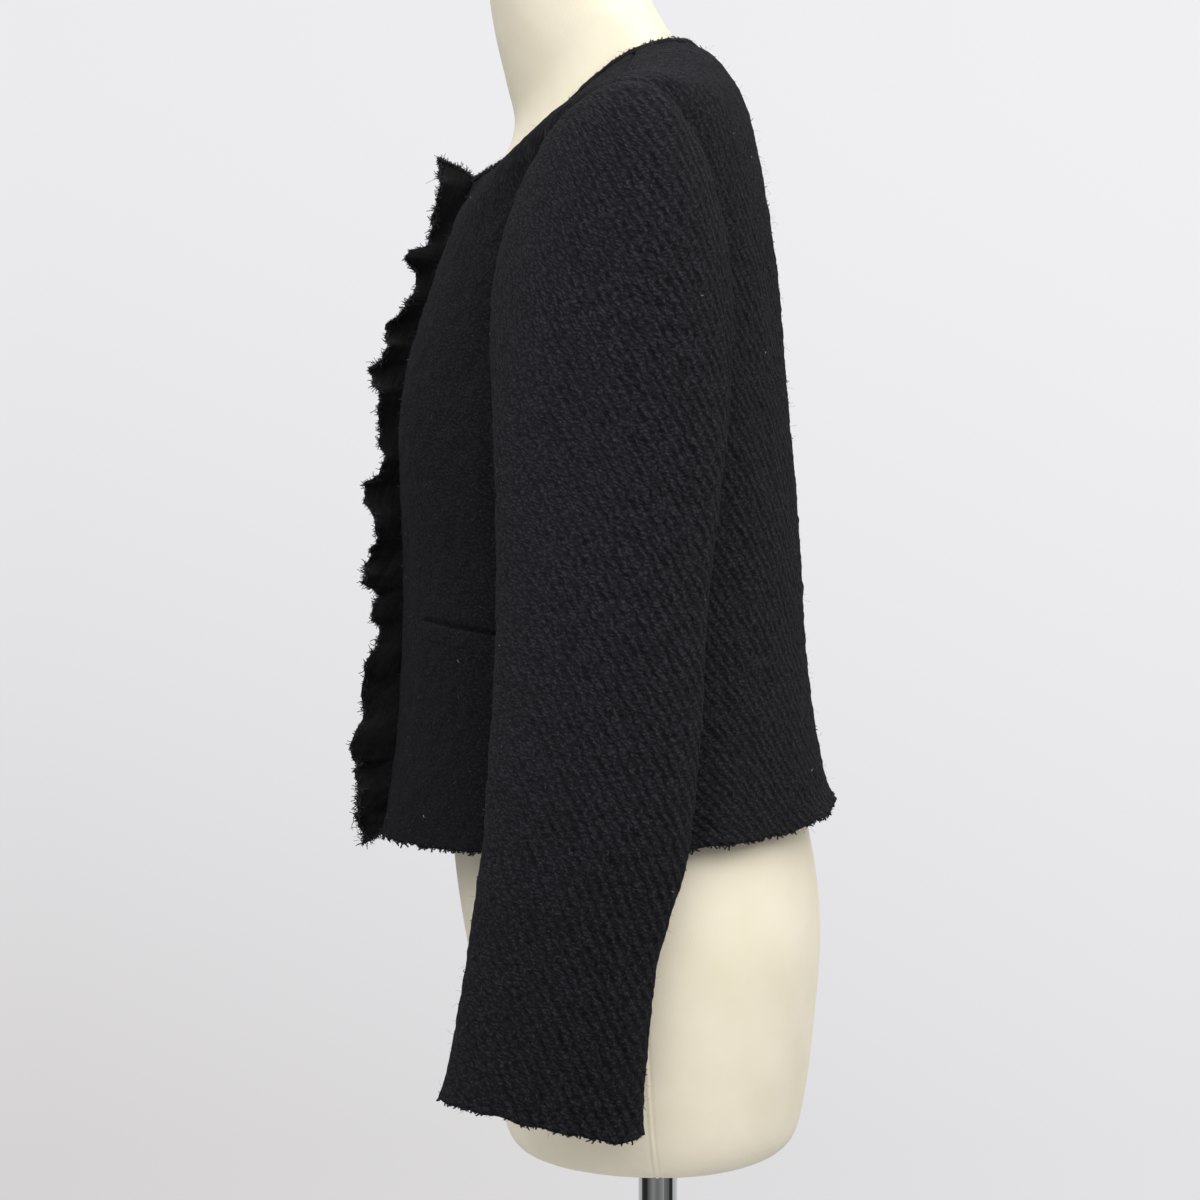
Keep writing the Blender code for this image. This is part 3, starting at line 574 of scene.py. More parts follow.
sleeveRings = np.array([  # zMiddle, yFront, yBack, xInner, xOuter, tilt in degrees
    (1.050, -0.0950, 0.0300, 0.1740, 0.2370, 0.0),
    (0.985, -0.0945, 0.0230, 0.1740, 0.2385, 1.0),
    (0.930, -0.0962, 0.0198, 0.1775, 0.2400, 2.5),
    (0.875, -0.0990, 0.0145, 0.1840, 0.2430, 4.5),
    (0.840, -0.1010, 0.0095, 0.1880, 0.2440, 6.0),
    (0.812, -0.1048, 0.0010, 0.1880, 0.2425, 8.0),
    (0.785, -0.1085, -0.0070, 0.1865, 0.2400, 10.0),
    (0.755, -0.1128, -0.0105, 0.1850, 0.2375, 11.5),
    (0.725, -0.1177, -0.0135, 0.1838, 0.2350, 12.5),
    (0.685, -0.1255, -0.0160, 0.1825, 0.2325, 13.5),
])
sleeve = {
    "square": 2.2, "seam": 5 * math.pi / 8, "seamGap": 0.0001 / 0.035 / 2,  # the gap as an angle of the turn
    "over": (0.115, 0.0, 0.012), "under": (0.050, 0.0, -0.085),  # the way it leaves the armhole, above and below
    "forward": 0.020, "stiff": 0.35, "puff": 0.7, "hang": 1.1, "lookAhead": 0.3,  # how the head's curves bend
    "layGap": 0.0008, "seatShare": 0.72,  # room to the body under the arm, where it meets the body's edge
    "upperColumns": 120, "underColumns": 48, "corner": 0.006,  # lift of the cuff's back corner
}


def armholePlace(turn):
    middle = 0.5 * (block["underarm"] + block["shoulder"])
    half = 0.5 * (block["shoulder"] - block["underarm"])
    bite = np.where(np.sin(turn) > 0, -block["biteFront"], block["biteBack"])
    return 0.5 * np.pi + bite * np.abs(np.sin(turn)), middle + half * np.cos(turn)


def sleeveRing(turn, row):  # superellipse rings of the hanging sleeve, their back edge tipped down
    z, yFront, yBack, xInner, xOuter, tilt = np.moveaxis(alongTable(sleeveRings, row), -1, 0)
    power = 2 / sleeve["square"]
    c, s = np.cos(turn), np.sin(turn)
    x = 0.5 * (xOuter + xInner) + 0.5 * (xOuter - xInner) * np.sign(c) * np.abs(c) ** power
    off = -0.5 * (yBack - yFront) * np.sign(s) * np.abs(s) ** power
    corner = sleeve["corner"] * np.maximum(0, -s) ** 6 * np.clip((row - 7.6) / 1.4, 0, 1) ** 2
    return np.stack([x, 0.5 * (yBack + yFront) + off, z - off * np.tan(np.radians(tilt)) + corner], -1)


def sleevePoints(turn, row):  # rows 0 to 1 are Hermite curves from armhole to first ring; then come the rings
    turn, row = np.broadcast_arrays(np.asarray(turn, float), np.asarray(row, float))
    angle, blockRow = armholePlace(turn)
    normal = outwardOf(jacketPoints, angle, blockRow)
    under = (0.5 - 0.5 * np.cos(turn)) ** 3
    start = jacketPoints(angle, blockRow) + normal * (under * (2 * cloth["wall"] + sleeve["layGap"]))[..., None]
    over = (0.5 + 0.5 * np.cos(turn))[..., None]
    way = np.array(sleeve["over"]) * over + np.array(sleeve["under"]) * (1 - over)
    way = way - np.stack([0 * turn, sleeve["forward"] * np.sin(turn), 0 * turn], -1)
    length = np.linalg.norm(way, axis=-1, keepdims=True)
    end = sleeveRing(turn, np.zeros_like(turn))
    chord = np.linalg.norm(end - start, axis=-1, keepdims=True)
    forth = way / length
    facing = np.maximum(0, (normal * forth).sum(-1, keepdims=True))
    clear = block["seamGap"] + sleeve["seatShare"] * cloth["wall"] * facing
    start = start + forth * clear
    leave = forth * (sleeve["stiff"] * chord + sleeve["puff"] * length)
    arrive = unit(sleeveRing(turn, 0 * turn + sleeve["lookAhead"]) - end) * chord * sleeve["hang"]
    t = np.clip(row, 0, 1)[..., None]
    head = (start * (2 * t**3 - 3 * t**2 + 1) + leave * (t**3 - 2 * t**2 + t)
            + end * (3 * t**2 - 2 * t**3) + arrive * (t**3 - t**2))
    return np.where((row < 1)[..., None], head, sleeveRing(turn, np.maximum(row - 1, 0)))


def onSleeve(*places):  # crease points: degrees from the outer side towards the front, and a sleeve row
    return [sleevePoints(math.radians(turn), row) for turn, row in places]


sleeveCreases = [
    (onSleeve((70, 4.2), (30, 4.7), (-10, 5.0)), 0.012, -0.0016),
    (onSleeve((80, 5.3), (40, 5.5), (5, 5.6)), 0.010, -0.0012),
    (onSleeve((-60, 3.0), (-30, 4.0), (-5, 5.6)), 0.016, 0.0014),
    (onSleeve((60, 0.45), (40, 1.2), (30, 2.2)), 0.014, -0.0012),
    (onSleeve((-55, 0.5), (-42, 1.3), (-38, 2.4)), 0.013, -0.0014),
    (onSleeve((30, 6.4), (0, 7.0), (-30, 7.8)), 0.012, -0.0010),
    (onSleeve((100, 1.0), (110, 2.4), (112, 4.0)), 0.012, -0.0014),
    (onSleeve((-100, 1.2), (-112, 3.0), (-118, 4.6)), 0.013, -0.0014),
    (onSleeve((150, 4.6), (180, 4.9), (215, 4.8)), 0.010, -0.0014),
]
sleeveRows = evenRows(lambda row: sleevePoints(0.0, row), len(sleeveRings), 0, cloth["step"])


def makeSleeve(side, part):
    # columns run to the right seen from outside: front seam to back seam, or from there round the inside
    seam, gap = sleeve["seam"], sleeve["seamGap"]
    if part == "Upper":
        turn = np.linspace(seam - gap, -seam + gap, sleeve["upperColumns"] + 1)
    else:
        turn = np.linspace(2 * np.pi - seam - gap, seam + gap, sleeve["underColumns"] + 1)
    turn, row = np.meshgrid(turn, sleeveRows)
    points = sleevePoints(turn, row)
    normals = gridNormals(points)
    centre = sleeve["upperColumns"] // 2 if part == "Upper" else sleeve["underColumns"] // 2
    uv = clothUv(points, centre) * ([-1, 1] if side == "Right" else [1, 1])
    seed = {"LeftUpper": 21, "LeftUnder": 23, "RightUpper": 25, "RightUnder": 27}[side + part]
    behind = np.clip((np.radians(50) - turn) / np.radians(80), 0, 1) if part == "Upper" else 0.8
    made = clothPiece("sleeve" + part + side, points, normals, uv, 0.3 + 0.6 * behind, sleeveCreases, seed,
                      side == "Right")
    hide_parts(f"sleeve_{part.lower()}_{side.lower()}")
    return made


back = makeBack()
fronts = {side: makeFront(side) for side in ("Left", "Right")}
sleeves = {(side, part): makeSleeve(side, part) for side in ("Left", "Right") for part in ("Upper", "Under")}
print("tweed panels made")


# Neck band and pockets

trim = {"neckBand": 0.010, "neckOpening": 0.0065}


def laidStrip(name, angle, row, thick, mirror=False):  # a flat strip sewn on, rounded at its edges
    normals = outwardOf(jacketPoints, angle, row)
    base = jacketPoints(angle, row) + normals * (cloth["wall"] + 0.0002)
    uv = clothUv(base, 0)
    close = np.clip(1 - edgeDistance(base, ("left", "right", "bottom", "top")) / 0.003, 0, 1)
    thick = thick * (1 - 0.8 * close**2) + clothRelief(uv, 0.05, 40) * (1 - close)
    outer = base + normals * thick[..., None]
    if mirror:
        outer, base, uv = outer * [-1, 1, 1], base * [-1, 1, 1], uv * [-1, 1]
    # painted shade: the strips take a darker tone, scaled down further towards the foot
    return shell(name, outer, base, uv, tweed, "tweed", flip=mirror, waleDepth=0.05, napTone=napTone(base, 0.60))


def makeNeckBand():
    first = trim["neckOpening"] / jacketRings[-1, column["xSide"]]
    yoke = jacketRings[-2, column["xSide"]] - jacketRings[-1, column["xSide"]]
    row = block["neckline"] - trim["neckBand"] / yoke * np.linspace(1, 0, 7)[:, None]
    angle = np.linspace(first, 2 * np.pi - first, 361)[None, :]
    angle, row = np.broadcast_arrays(angle, row)
    piece = laidStrip("neckBand", angle, row, 0.0009)
    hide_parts("neck_band")
    points = jacketPoints(angle, row) + outwardOf(jacketPoints, angle, row) * (cloth["wall"] + 0.0006)
    return {"piece": piece, "edge": (points[-1], points[-2], np.array([0, 0, 1.0]))}


def makePocketWelt(side):
    across, share = np.meshgrid(np.linspace(0, 1, 61), np.linspace(0, 1, 13))
    (inner, outer), (zIn, zOut) = pocket["angles"], pocket["heights"]
    z = zIn + across * (zOut - zIn) - pocket["welt"] * (1 - share)
    row = np.interp(z, blockHeights, np.arange(len(blockHeights)))
    angle = np.radians(inner + across * (outer - inner))
    piece = laidStrip("pocketWelt" + side, angle, row, 0.0002 + 0.0008 * share, side == "Right")
    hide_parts("pocket_welt_" + side.lower())


neckBand = makeNeckBand()
for side in ("Left", "Right"):
    makePocketWelt(side)
print("neck band and pockets made")


# Frills of raw silk down the front edges

frillFolds = np.array([  # height, reach in front of the panel, swing sideways
    (1.2620, 0.0235, 0.0032), (1.2390, 0.0180, 0.0165), (1.2140, 0.0125, 0.0036), (1.2000, 0.0222, 0.0180),
    (1.1860, 0.0120, 0.0040), (1.1700, 0.0145, 0.0165), (1.1550, 0.0220, 0.0036), (1.1395, 0.0168, 0.0150),
    (1.1280, 0.0240, 0.0032), (1.1120, 0.0160, 0.0173), (1.0900, 0.0140, 0.0040), (1.0650, 0.0120, 0.0165),
    (1.0530, 0.0250, 0.0032), (1.0290, 0.0160, 0.0173), (1.0130, 0.0220, 0.0036), (0.9960, 0.0225, 0.0165),
    (0.9870, 0.0165, 0.0040), (0.9750, 0.0200, 0.0140), (0.9610, 0.0165, 0.0040), (0.9410, 0.0205, 0.0173),
    (0.9180, 0.0235, 0.0032), (0.8870, 0.0275, 0.0165), (0.8810, 0.0220, 0.0060), (0.8740, 0.0245, 0.0036),
    (0.8550, 0.0185, 0.0165), (0.8450, 0.0190, 0.0040), (0.8300, 0.0130, 0.0054),
])
frill = {
    "x": 0.0042, "angle": 0.03, "stand": 1.35, "wall": 0.0007, "lift": 0.0008,  # where and how it is sewn on
    "blunt": 0.75, "plateau": 0.17, "sewn": 0.43,  # how square the folds are, the length of the sewn edge
    "rows": 600, "columns": 24, "ripple": 0.0018, "ragged": 0.0013,
}


def makeFrill(side):
    # every row runs from the sewn edge to the free edge; swing and reach follow the folds, blunt at their
    # ends, and a finer ripple and a ragged free edge grow towards the free side
    seed = 31 if side == "Left" else 37
    share = np.linspace(0, 1, frill["columns"] + 1)[None, :]
    fold = np.linspace(0, len(frillFolds) - 1, frill["rows"] + 1)[::-1]
    t = fold - np.floor(fold)
    blunt = np.floor(fold) + t + frill["blunt"] * (smoothStep(t) - t)
    flat = np.clip((t - frill["plateau"]) / (1 - 2 * frill["plateau"]), 0, 1)
    z = alongTable(frillFolds, fold)[:, 0]
    reach = alongTable(frillFolds, np.floor(fold) + smoothStep(flat))[:, 1]
    swing = alongTable(frillFolds, blunt if side == "Left" else blunt + 1)[:, 2]
    reach = reach * (1.0 if side == "Left" else 0.93)
    row = np.interp(z, blockHeights, np.arange(len(blockHeights)))
    lift = outwardOf(jacketPoints, 0 * row + frill["angle"], row) * (cloth["wall"] + frill["lift"])
    root = jacketPoints(0 * row + frill["angle"], row) + lift
    over = np.maximum(0, z - blockHeights[-1]) + np.minimum(0, z - blockHeights[0])
    at = np.arange(frill["rows"] + 1) * frill["sewn"] / frill["rows"]

    def wander(size, shift):
        return softNoise(at, 0 * at, size, seed + shift)[:, None]

    reach = reach + frill["ragged"] * (wander(0.0022, 0) + 1.3 * wander(0.006, 1) + 1.4 * wander(0.011, 6))[:, 0]
    wave = frill["ripple"] * (wander(0.0045, 2) + 0.6 * wander(0.009, 4)) * share**1.5
    bow = 0.0024 * np.sin(np.pi * share) * wander(0.018, 3)
    x = np.maximum(frill["x"] + (swing[:, None] - frill["x"]) * share + wave + bow, 0.0008)
    y = root[:, 1:2] - reach[:, None] * share
    height = root[:, 2:3] + (frill["stand"] * over)[:, None] * share**0.65 + 0.0018 * wander(0.011, 5) * share
    points = np.stack([x, y, height], -1)[:, ::-1]  # free edge first, so that columns run to the right
    normals = gridNormals(points)
    uv = clothUv(points, 0)
    outer, inner = points + normals * frill["wall"] / 2, points - normals * frill["wall"] / 2
    mirror = side == "Right"
    if mirror:
        outer, inner = outer * [-1, 1, 1], inner * [-1, 1, 1]
    piece = shell("frill" + side, outer, inner, uv, silk, "silk", flip=mirror)
    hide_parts("frill_" + side.lower())
    middle = 0.5 * (outer + inner)
    edges = [(middle[:, 0], middle[:, 3]), (middle[0], middle[4]), (middle[-1], middle[-5])]
    return {"piece": piece, "edges": edges}


frills = {side: makeFrill(side) for side in ("Left", "Right")}
print("frills made")


# Frayed threads and fuzz

def threads(name, roots, ways, lengths, radius, curl, rng, material, rings=4):
    # thin three-sided tubes: root + way * length * t, bent sideways by a wave that grows with t, and tapering
    ways = unit(ways)
    helper = np.where(np.abs(ways[:, 2:3]) < 0.8, [[0, 0, 1]], [[1, 0, 0]])
    side = unit(np.cross(ways, helper))
    other = np.cross(ways, side)
    t = np.linspace(0, 1, rings)[None, :, None]
    phase = rng.uniform(0, 2 * np.pi, (len(roots), 1, 1))
    reach = curl * lengths[:, None, None] * t
    middle = (roots[:, None] + ways[:, None] * (lengths[:, None, None] * t)
              + side[:, None] * reach * (np.sin(phase + 2.6 * t) - np.sin(phase))
              + other[:, None] * reach * (np.cos(phase + 2.2 * t) - np.cos(phase)))
    turn = np.arange(3) * 2 * np.pi / 3
    thin = (radius * (1 - 0.25 * t))[..., None]
    around = side[:, None, None] * np.cos(turn)[:, None] + other[:, None, None] * np.sin(turn)[:, None]
    points = middle[:, :, None] + thin * around
    base = (np.arange(len(roots)) * rings * 3)[:, None, None]
    tube = [[r * 3 + k, r * 3 + (k + 1) % 3, r * 3 + 3 + (k + 1) % 3, r * 3 + 3 + k]
            for r in range(rings - 1) for k in range(3)]
    ends = [[2, 1, 0], [rings * 3 - 3, rings * 3 - 2, rings * 3 - 1]]
    faces = (base + np.array(tube)).reshape(-1, 4).tolist() + (base + np.array(ends)).reshape(-1, 3).tolist()
    return newPiece(name, points, faces, material)


def edgeRoots(line, inward, perMetre, rng):  # random places on an edge, the way out of the cloth, the way along
    total = along(line)
    at = np.sort(rng.uniform(0, total[-1], int(perMetre * total[-1])))

    def pick(values):
        return np.stack([np.interp(at, total, values[:, k]) for k in range(3)], 1)

    return at, pick(line), unit(pick(line) - pick(inward)), unit(pick(np.gradient(line, axis=0)))


fray = {  # how many, how long, how thick, how untidy, how far they turn up off the cloth
    "ends": {"perMetre": 850, "length": 0.0018, "radius": 0.00085, "scatter": 0.30, "lift": 0.0},  # thick yarn
    "hairs": {"perMetre": 1000, "length": 0.0024, "radius": 0.00008, "scatter": 0.60, "lift": 0.0},  # fine wool
    "silk": {"perMetre": 3400, "length": 0.0024, "radius": 0.00036, "scatter": 0.55, "lift": 0.0},  # torn silk
    "neck": {"perMetre": 1300, "length": 0.0008, "radius": 0.00060, "scatter": 0.35, "lift": 0.3},  # yarn loops
    "fuzz": {"share": 44, "least": 0.0012, "more": 0.0038, "radius": 0.00007, "curl": 0.45},  # one point in 44
    "loops": {"share": 90, "least": 0.0009, "more": 0.0008, "radius": 0.00050, "curl": 0.80},  # snagged yarn
}


def frayedEdge(name, edges, kind, seed, material, sunk=0.0008, spread=0.0008, rings=4):
    # ends lean together in tufts, whose lean and length wander along the edge
    s = fray[kind]
    rng = np.random.default_rng(seed)
    roots, ways, lengths = [], [], []
    for index, (line, inward, normal) in enumerate(edges):
        at, root, way, tangent = edgeRoots(line, inward, s["perMetre"], rng)
        lean = softNoise(at, 0 * at + index, 0.0035, seed)[:, None] * 0.6
        tuft = 1 + 0.5 * softNoise(at, 0 * at + index, 0.0034, seed + 1)
        roots.append(root - way * sunk + normal * rng.uniform(-spread, spread, (len(at), 1)))
        ways.append(way + tangent * lean + normal * s["lift"] + rng.normal(0, s["scatter"], (len(at), 3)))
        lengths.append(s["length"] * tuft * (0.6 + rng.gamma(2.0, 0.22, len(at))))
    lengths = np.minimum(np.hstack(lengths), 0.0065)
    return threads(name, np.vstack(roots), np.vstack(ways), lengths, s["radius"], 0.3, rng, material, rings)


def rawPanelEdge(panel):  # the bottom edge, a line a little way in from it, and the way off the cloth
    middle = 0.5 * (panel["outer"] + panel["inner"])
    return middle[0], middle[4], panel["normals"][0].mean(0)


def standingOff(kind, name, panel, seed):  # loose fibres or small loops of yarn, standing off the cloth
    f = fray[kind]
    rng = np.random.default_rng(seed)
    points, normals = panel["outer"].reshape(-1, 3), panel["normals"].reshape(-1, 3)
    pick = rng.integers(0, len(points), len(points) // f["share"])
    ways = normals[pick] + rng.normal(0, 0.6, (len(pick), 3))
    lengths = f["least"] + f["more"] * rng.random(len(pick)) ** 2
    roots = points[pick] - normals[pick] * f["radius"]
    return threads(name, roots, ways, lengths, f["radius"], f["curl"], rng, woolEnds, 3)


panels = {"Back": back, "FrontLeft": fronts["Left"], "FrontRight": fronts["Right"],
          **{"Sleeve" + part + side: panel for (side, part), panel in sleeves.items()}}
for number, (name, panel) in enumerate(panels.items()):
    edge = [rawPanelEdge(panel)]
    frayedEdge("yarnEnds" + name, edge, "ends", 51 + 5 * number, woolEnds)
    frayedEdge("edgeHairs" + name, edge, "hairs", 53 + 5 * number, woolEnds)
    standingOff("fuzz", "woolFuzz" + name, panel, 54 + 5 * number)
    standingOff("loops", "yarnLoops" + name, panel, 55 + 5 * number)
frayedEdge("neckLoops", [neckBand["edge"]], "neck", 47, woolEnds, 0.0011)
frayedEdge("neckHairs", [neckBand["edge"]], "hairs", 48, woolEnds, rings=3)


def looseStrands(side, seed):  # single longer strands: one curled at the frill's top corner, four at its foot
    line, inward = frills[side]["edges"][0]
    rng = np.random.default_rng(seed)
    at = np.array([-16, 5, 12, 20, 33])
    ways = unit(line[at] - inward[at]) + np.outer([0.5, -1.5, -0.9, -1.2, -0.4], [0, 0, 1])
    lengths = np.array([0.0085, 0.0060, 0.0050, 0.0070, 0.0055])
    return threads("looseStrands" + side, line[at], ways, lengths, 0.00028, 0.55, rng, silkEnds, 9)


for number, side in enumerate(("Left", "Right")):
    torn = [(line, inward, np.array([1.0, 0, 0])) for line, inward in frills[side]["edges"]]
    fringe = frayedEdge("frillFringe" + side, torn, "silk", 91 + number, silkEnds, 0.0016, 0.0004)
    looseStrands(side, 95 + number)


def makeLint():  # a few pale flecks of lint caught in the wool
    rng = np.random.default_rng(77)
    panels = [back, fronts["Left"], fronts["Right"], sleeves["Left", "Upper"], sleeves["Right", "Upper"]]
    roots, ways = [], []
    for panel in panels:
        points, normals = panel["outer"].reshape(-1, 3), panel["normals"].reshape(-1, 3)
        pick = rng.integers(0, len(points), 5)
        roots.append(points[pick] + normals[pick] * 0.0003)
        ways.append(np.cross(normals[pick], rng.normal(0, 1, (5, 3))))
    lengths = rng.uniform(0.0008, 0.0018, 25)
    threads("lint", np.vstack(roots), np.vstack(ways), lengths, 0.00016, 0.5, rng, lintWhite)


makeLint()
print("frayed edges made")


# Dress form and stand

def level(z, yFront, xSide, ySide, yBack, square):  # a ring with one height all round
    return z, yFront, z, xSide, ySide, z, yBack, square, 0.0


formRings = np.array([  # from the underside to the neck's top, in the same columns as the jacket's rings
    level(0.6340, -0.0550, 0.0750, 0.000, 0.0480, 2.1),
    level(0.6352, -0.0800, 0.1170, 0.000, 0.0680, 2.1),
    level(0.6460, -0.0945, 0.1370, -0.002, 0.0855, 2.2),
    level(0.6750, -0.1020, 0.1510, -0.005, 0.0935, 2.2),
    level(0.7250, -0.1125, 0.1640, -0.008, 0.0995, 2.2),
    level(0.7750, -0.1230, 0.1700, -0.010, 0.1030, 2.2),
    level(0.8200, -0.1295, 0.1665, -0.012, 0.0990, 2.2),
    level(0.8600, -0.1310, 0.1560, -0.014, 0.0905, 2.2),
    level(0.9050, -0.1240, 0.1390, -0.016, 0.0800, 2.2),
    level(0.9500, -0.1150, 0.1260, -0.018, 0.0700, 2.2),
    level(1.0000, -0.1200, 0.1290, -0.020, 0.0680, 2.2),
    level(1.0500, -0.1380, 0.1400, -0.022, 0.0710, 2.2),
    level(1.0950, -0.1490, 0.1500, -0.024, 0.0725, 2.2),
    (1.1260, -0.1480, 1.1400, 0.1560, -0.026, 1.1400, 0.0705, 2.2, 0.000),
    (1.1560, -0.1420, 1.1940, 0.1600, -0.028, 1.1860, 0.0670, 2.15, 0.001),
    (1.1820, -0.1340, 1.2400, 0.1640, -0.029, 1.2280, 0.0612, 2.1, 0.002),
    (1.2035, -0.1268, 1.2758, 0.1660, -0.029, 1.2655, 0.0548, 2.0, 0.004),
    (1.2190, -0.1226, 1.2906, 0.1420, -0.024, 1.2935, 0.0487, 2.0, 0.007),
    (1.2345, -0.1160, 1.3039, 0.1090, -0.019, 1.3178, 0.0355, 2.0, 0.010),
    (1.2485, -0.1110, 1.3186, 0.0735, -0.014, 1.3316, 0.0178, 2.0, 0.014),
    (1.2660, -0.0985, 1.3300, 0.0660, -0.020, 1.3440, 0.0085, 2.0, 0.010),
    (1.2880, -0.0915, 1.3435, 0.0605, -0.030, 1.3560, 0.0010, 2.0, 0.004),
    (1.3150, -0.0970, 1.3520, 0.0570, -0.044, 1.3700, -0.0060, 2.0, 0.000),
    (1.3450, -0.1040, 1.3680, 0.0550, -0.055, 1.3880, -0.0120, 2.0, 0.000),
    (1.3745, -0.1080, 1.3895, 0.0545, -0.062, 1.4050, -0.0160, 2.0, 0.000),
    (1.3858, -0.1030, 1.3988, 0.0465, -0.063, 1.4120, -0.0230, 2.0, 0.000),
    (1.3943, -0.0850, 1.4015, 0.0240, -0.063, 1.4087, -0.0410, 2.0, 0.000),
])
stand = {"poleRadius": 0.0125, "poleInForm": 0.060, "baseRadius": 0.165, "baseThick": 0.009,
         "socketRadius": 0.019, "socketHeight": 0.030, "gap": 0.0003, "seam": 0.0008, "seamBack": -0.0025}


def makeForm():
    # rings from underside to neck; columns crowd at the sides, where the cover has a fine raised seam
    columns, rows = 161, 130
    plain = np.linspace(0, 2 * np.pi, columns)
    angle = plain + 0.45 * np.sin(2 * plain)
    row = np.linspace(0, len(formRings) - 1, rows)[:, None]
    angle, row = np.broadcast_arrays(angle[None, :], row)
    points = ringPoints(formRings, angle, row)
    normals = gridNormals(points)
    uv = clothUv(points, 0)
    seamAt = np.abs(points[:, :, 1] - points[:, columns // 4, 1][:, None] - stand["seamBack"])
    ridge = np.exp(-(seamAt / stand["seam"]) ** 2) - 0.8 * np.exp(-((seamAt - 0.0018) / 0.0009) ** 2)
    inNeck = np.clip((len(formRings) - 8 - row) / 2, 0, 1)
    points = points + normals * (0.00045 * ridge * inNeck)[..., None]
    hole = stand["poleRadius"] + 0.0004
    ring = np.stack([hole * np.sin(angle[0]), -hole * np.cos(angle[0]), 0 * angle[0]], -1)
    low = formRings[0, 0]
    collar = np.stack([ring + [0, 0, low + stand["poleInForm"]], ring + [0, 0, low]])
    points = np.concatenate([collar, points])[:, :-1]
    uv = np.concatenate([uv[:2] * 0, uv])[:, :-1]
    count = columns - 1
    grid = np.arange(points.shape[0] * count).reshape(-1, count)
    a, b = grid[:-1], np.roll(grid, -1, axis=1)[:-1]
    c, d = np.roll(grid, -1, axis=1)[1:], grid[1:]
    faces = np.stack([a, b, c, d], -1).reshape(-1, 4).tolist()
    faces += [grid[0][::-1].tolist(), grid[-1].tolist()]
    piece = newPiece("jerseyForm", points, faces, jersey, uv)
    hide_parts("torso_form")


def turned(name, profile, material, node, steps=96):  # a closed outline of (radius, height) turned about Z
    profile = np.array(profile)
    turn = np.linspace(0, 2 * np.pi, steps, endpoint=False)
    points = np.stack([profile[:, :1] * np.cos(turn), profile[:, :1] * np.sin(turn),
                       profile[:, 1:] + 0 * turn], -1)
    grid = np.arange(len(profile) * steps).reshape(len(profile), steps)
    low, high = grid[:-1], grid[1:]
    faces = np.stack([high, np.roll(high, -1, axis=1), np.roll(low, -1, axis=1), low], -1)
    faces = faces.reshape(-1, 4).tolist()
    faces += [grid[0].tolist(), grid[-1][::-1].tolist()]
    piece = newPiece(name, points, faces, material)
    piece.data.set_sharp_from_angle(angle=math.radians(35))
    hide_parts(node)


def rounded(radius, height, bend, lower=False, steps=6):  # points of a quarter round at an outer edge
    turn = np.linspace(0, 0.5 * np.pi, steps)
    if lower:
        return [(radius - bend + bend * math.cos(a), height + bend - bend * math.sin(a)) for a in turn]
    return [(radius - bend + bend * math.sin(a), height - bend + bend * math.cos(a)) for a in turn]


def makeStand():
    s = stand
    seat = s["baseThick"] + s["gap"]
    base = [(0.001, s["baseThick"])] + rounded(s["baseRadius"], s["baseThick"], 0.003) \
        + rounded(s["baseRadius"], 0.0, 0.001, True) + [(0.001, 0.0)]
    turned("basePlate", base, chrome, "base_plate", 128)
    bore = s["poleRadius"] + s["gap"]
    socket = [(bore, seat + s["socketHeight"])] + rounded(s["socketRadius"], seat + s["socketHeight"], 0.002) \
        + [(s["socketRadius"], seat + 0.004)] + rounded(s["socketRadius"] + 0.003, seat + 0.004, 0.0015) \
        + [(s["socketRadius"] + 0.003, seat), (bore, seat)]
    turned("poleSocket", socket + socket[:1], chrome, "pole_socket", 64)
    top = formRings[0, 0] + s["poleInForm"] - 0.0006
    pole = [(0.001, top)] + rounded(s["poleRadius"], top, 0.001) + [(s["poleRadius"], seat), (0.001, seat)]
    turned("standPole", pole, chrome, "pole", 64)


makeForm()
makeStand()
print("form and stand made")
# Light, floor and camera

view = {"distance": 2.0, "aimY": -0.0371, "aboveForm": 0.3495, "lens": 93.75}
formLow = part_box("torso_form")[0]


def makeCamera():
    camera = bpy.data.objects.new("camera", bpy.data.cameras.new("camera"))
    bpy.context.scene.collection.objects.link(camera)
    camera.data.lens, camera.data.sensor_width = view["lens"], 36
    camera.location = (view["distance"], view["aimY"], formLow.z + view["aboveForm"])
    camera.rotation_euler = (math.pi / 2, 0, math.pi / 2)
    bpy.context.scene.camera = camera


def makeLight(name, place, aim, size, power, colour):
    lamp = bpy.data.lights.new(name, "AREA")
    lamp.shape, lamp.size, lamp.energy, lamp.color = "DISK", size, power, linear(colour)[:3]
    holder = bpy.data.objects.new(name, lamp)
    bpy.context.scene.collection.objects.link(holder)
    holder.location = place
    holder.rotation_euler = (Vector(aim) - Vector(place)).to_track_quat("-Z", "Y").to_euler()


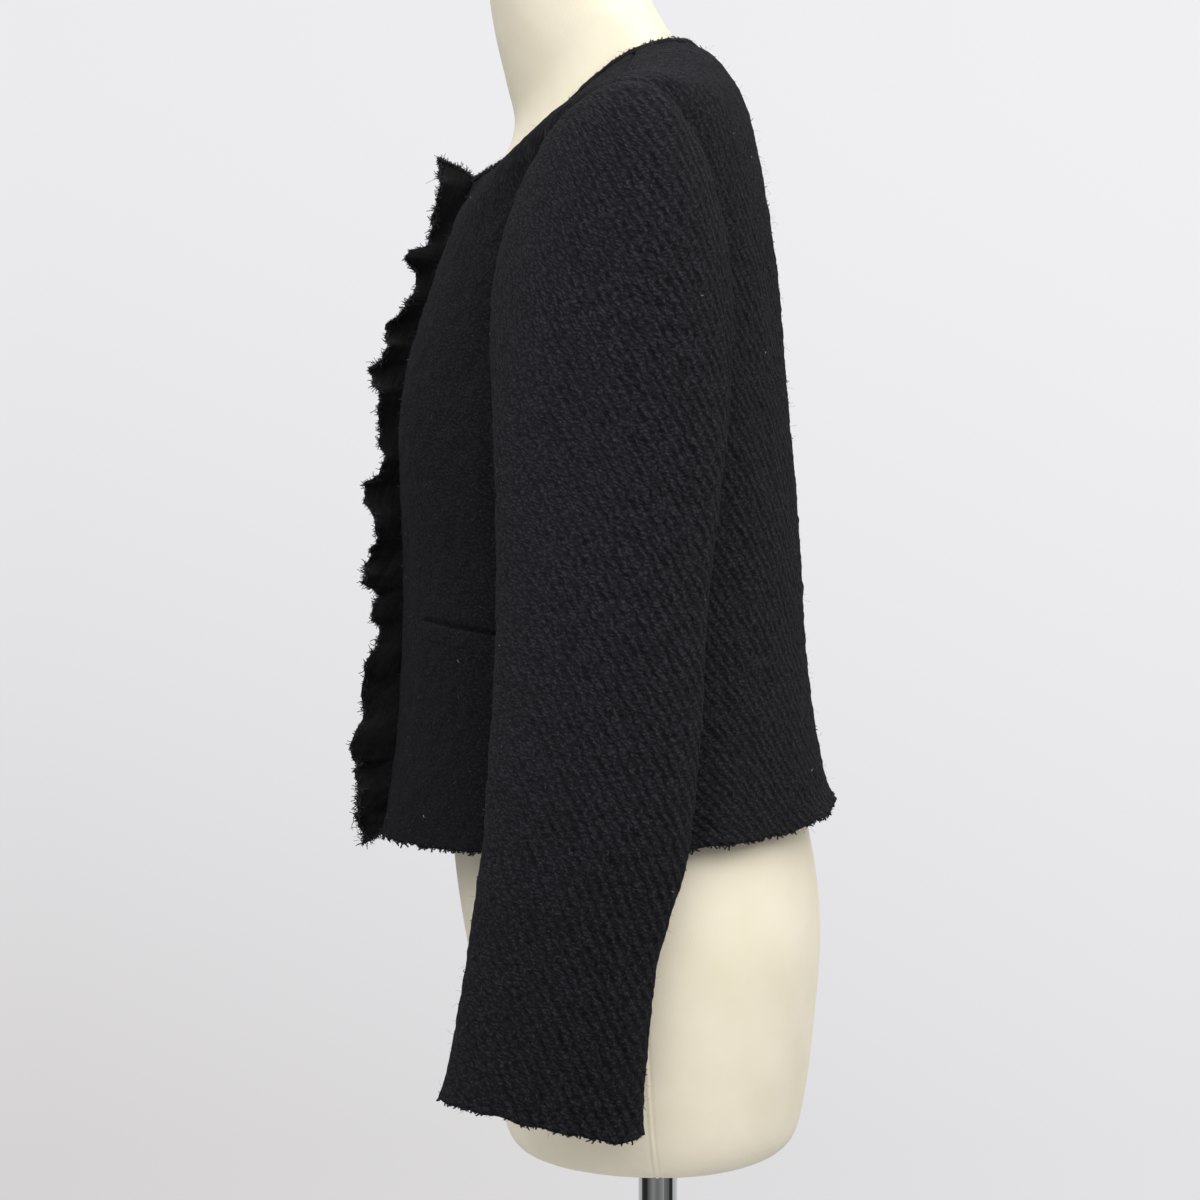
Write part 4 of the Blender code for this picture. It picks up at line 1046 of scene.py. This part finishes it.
def makeWorld():
    # seen straight on: a pale backdrop, a little darker low down and towards the jacket's front; for all else
    # a room with that bright backdrop on one side, darker walls with two dim windows on the other, light above
    world = bpy.data.worlds.new("paleStudio")
    bpy.context.scene.world = world
    world.use_nodes = True
    tree = world.node_tree
    x, y, z = addNode(tree, "SeparateXYZ", {}, {0: addNode(tree, "TexCoord").outputs["Generated"]}).outputs
    lower = calc(tree, "POWER", mapRange(tree, z, 0.172, -0.172), 1.5)
    front = mapRange(tree, y, 0.172, -0.172)
    drop = calc(tree, "MULTIPLY_ADD", lower, calc(tree, "MULTIPLY_ADD", front, 8 / 27, 14 / 27),
                calc(tree, "MULTIPLY", front, 5 / 27))
    seen = colourRamp(tree, drop, (0, "#f0f0f3"), (1, "#d5d3d4"))

    turn = calc(tree, "MULTIPLY_ADD", calc(tree, "ARCTAN2", y, x), 1 / (2 * math.pi), 0.5)
    walls = ((0.0, 0.70), (0.19, 0.50), (0.205, 0.04), (0.31, 0.02), (0.325, 0.10), (0.35, 0.13), (0.42, 0.29),
             (0.49, 0.18), (0.56, 0.29), (0.58, 0.30), (0.587, 0.50), (0.597, 0.20), (0.633, 0.17), (0.685, 0.12),
             (0.695, 0.03), (0.755, 0.03), (0.77, 0.55), (0.816, 0.60), (0.90, 0.75), (1.0, 0.78))
    room = colourRamp(tree, turn, *((place, (value, value, value * 0.98, 1)) for place, value in walls))
    lit = blend(tree, mapRange(tree, z, 0.05, 0.75, True), room, (1.6, 1.6, 1.65, 1))
    lit = blend(tree, mapRange(tree, z, -0.25, -0.6, True), lit, (0.16, 0.16, 0.16, 1))
    both = blend(tree, addNode(tree, "LightPath").outputs["Is Camera Ray"], lit, seen)
    tree.links.new(both, tree.nodes["Background"].inputs["Color"])


def makeFloor():
    turn = np.linspace(0, 2 * np.pi, 128, endpoint=False)
    points = np.stack([2.2 * np.cos(turn), 2.2 * np.sin(turn), 0 * turn - 0.0005], -1)
    material, tree, shader = newMaterial("paleFloor", Roughness=0.7)
    cloud = noise(tree, objectPlace(tree), 3, 2, "3D")
    finishShader(tree, shader, colourRamp(tree, cloud, (0, "#a6a6a8"), (1, "#afafb1")))
    mesh = bpy.data.meshes.new("floor")
    mesh.from_pydata(points.tolist(), [], [list(range(len(points)))])
    mesh.materials.append(material)
    floor = bpy.data.objects.new("floor", mesh)
    bpy.context.scene.collection.objects.link(floor)


makeCamera()
makeLight("topSoft", (1.0, 0.1, 3.0), (0, 0, 1.0), 2.4, 11, "#ffffff")
makeLight("nearSoft", (2.6, -0.1, 2.0), (0.1, 0, 1.0), 1.6, 27, "#ffffff")
makeLight("backSoft", (2.2, 1.6, 2.2), (0, 0, 0.95), 1.8, 16, "#fffdf8")
makeLight("frontSoft", (1.7, -1.8, 2.6), (0, 0, 1.1), 1.8, 4, "#f8faff")
makeWorld()
makeFloor()
bpy.context.scene.view_settings.view_transform = "Standard"
print("light and camera set")
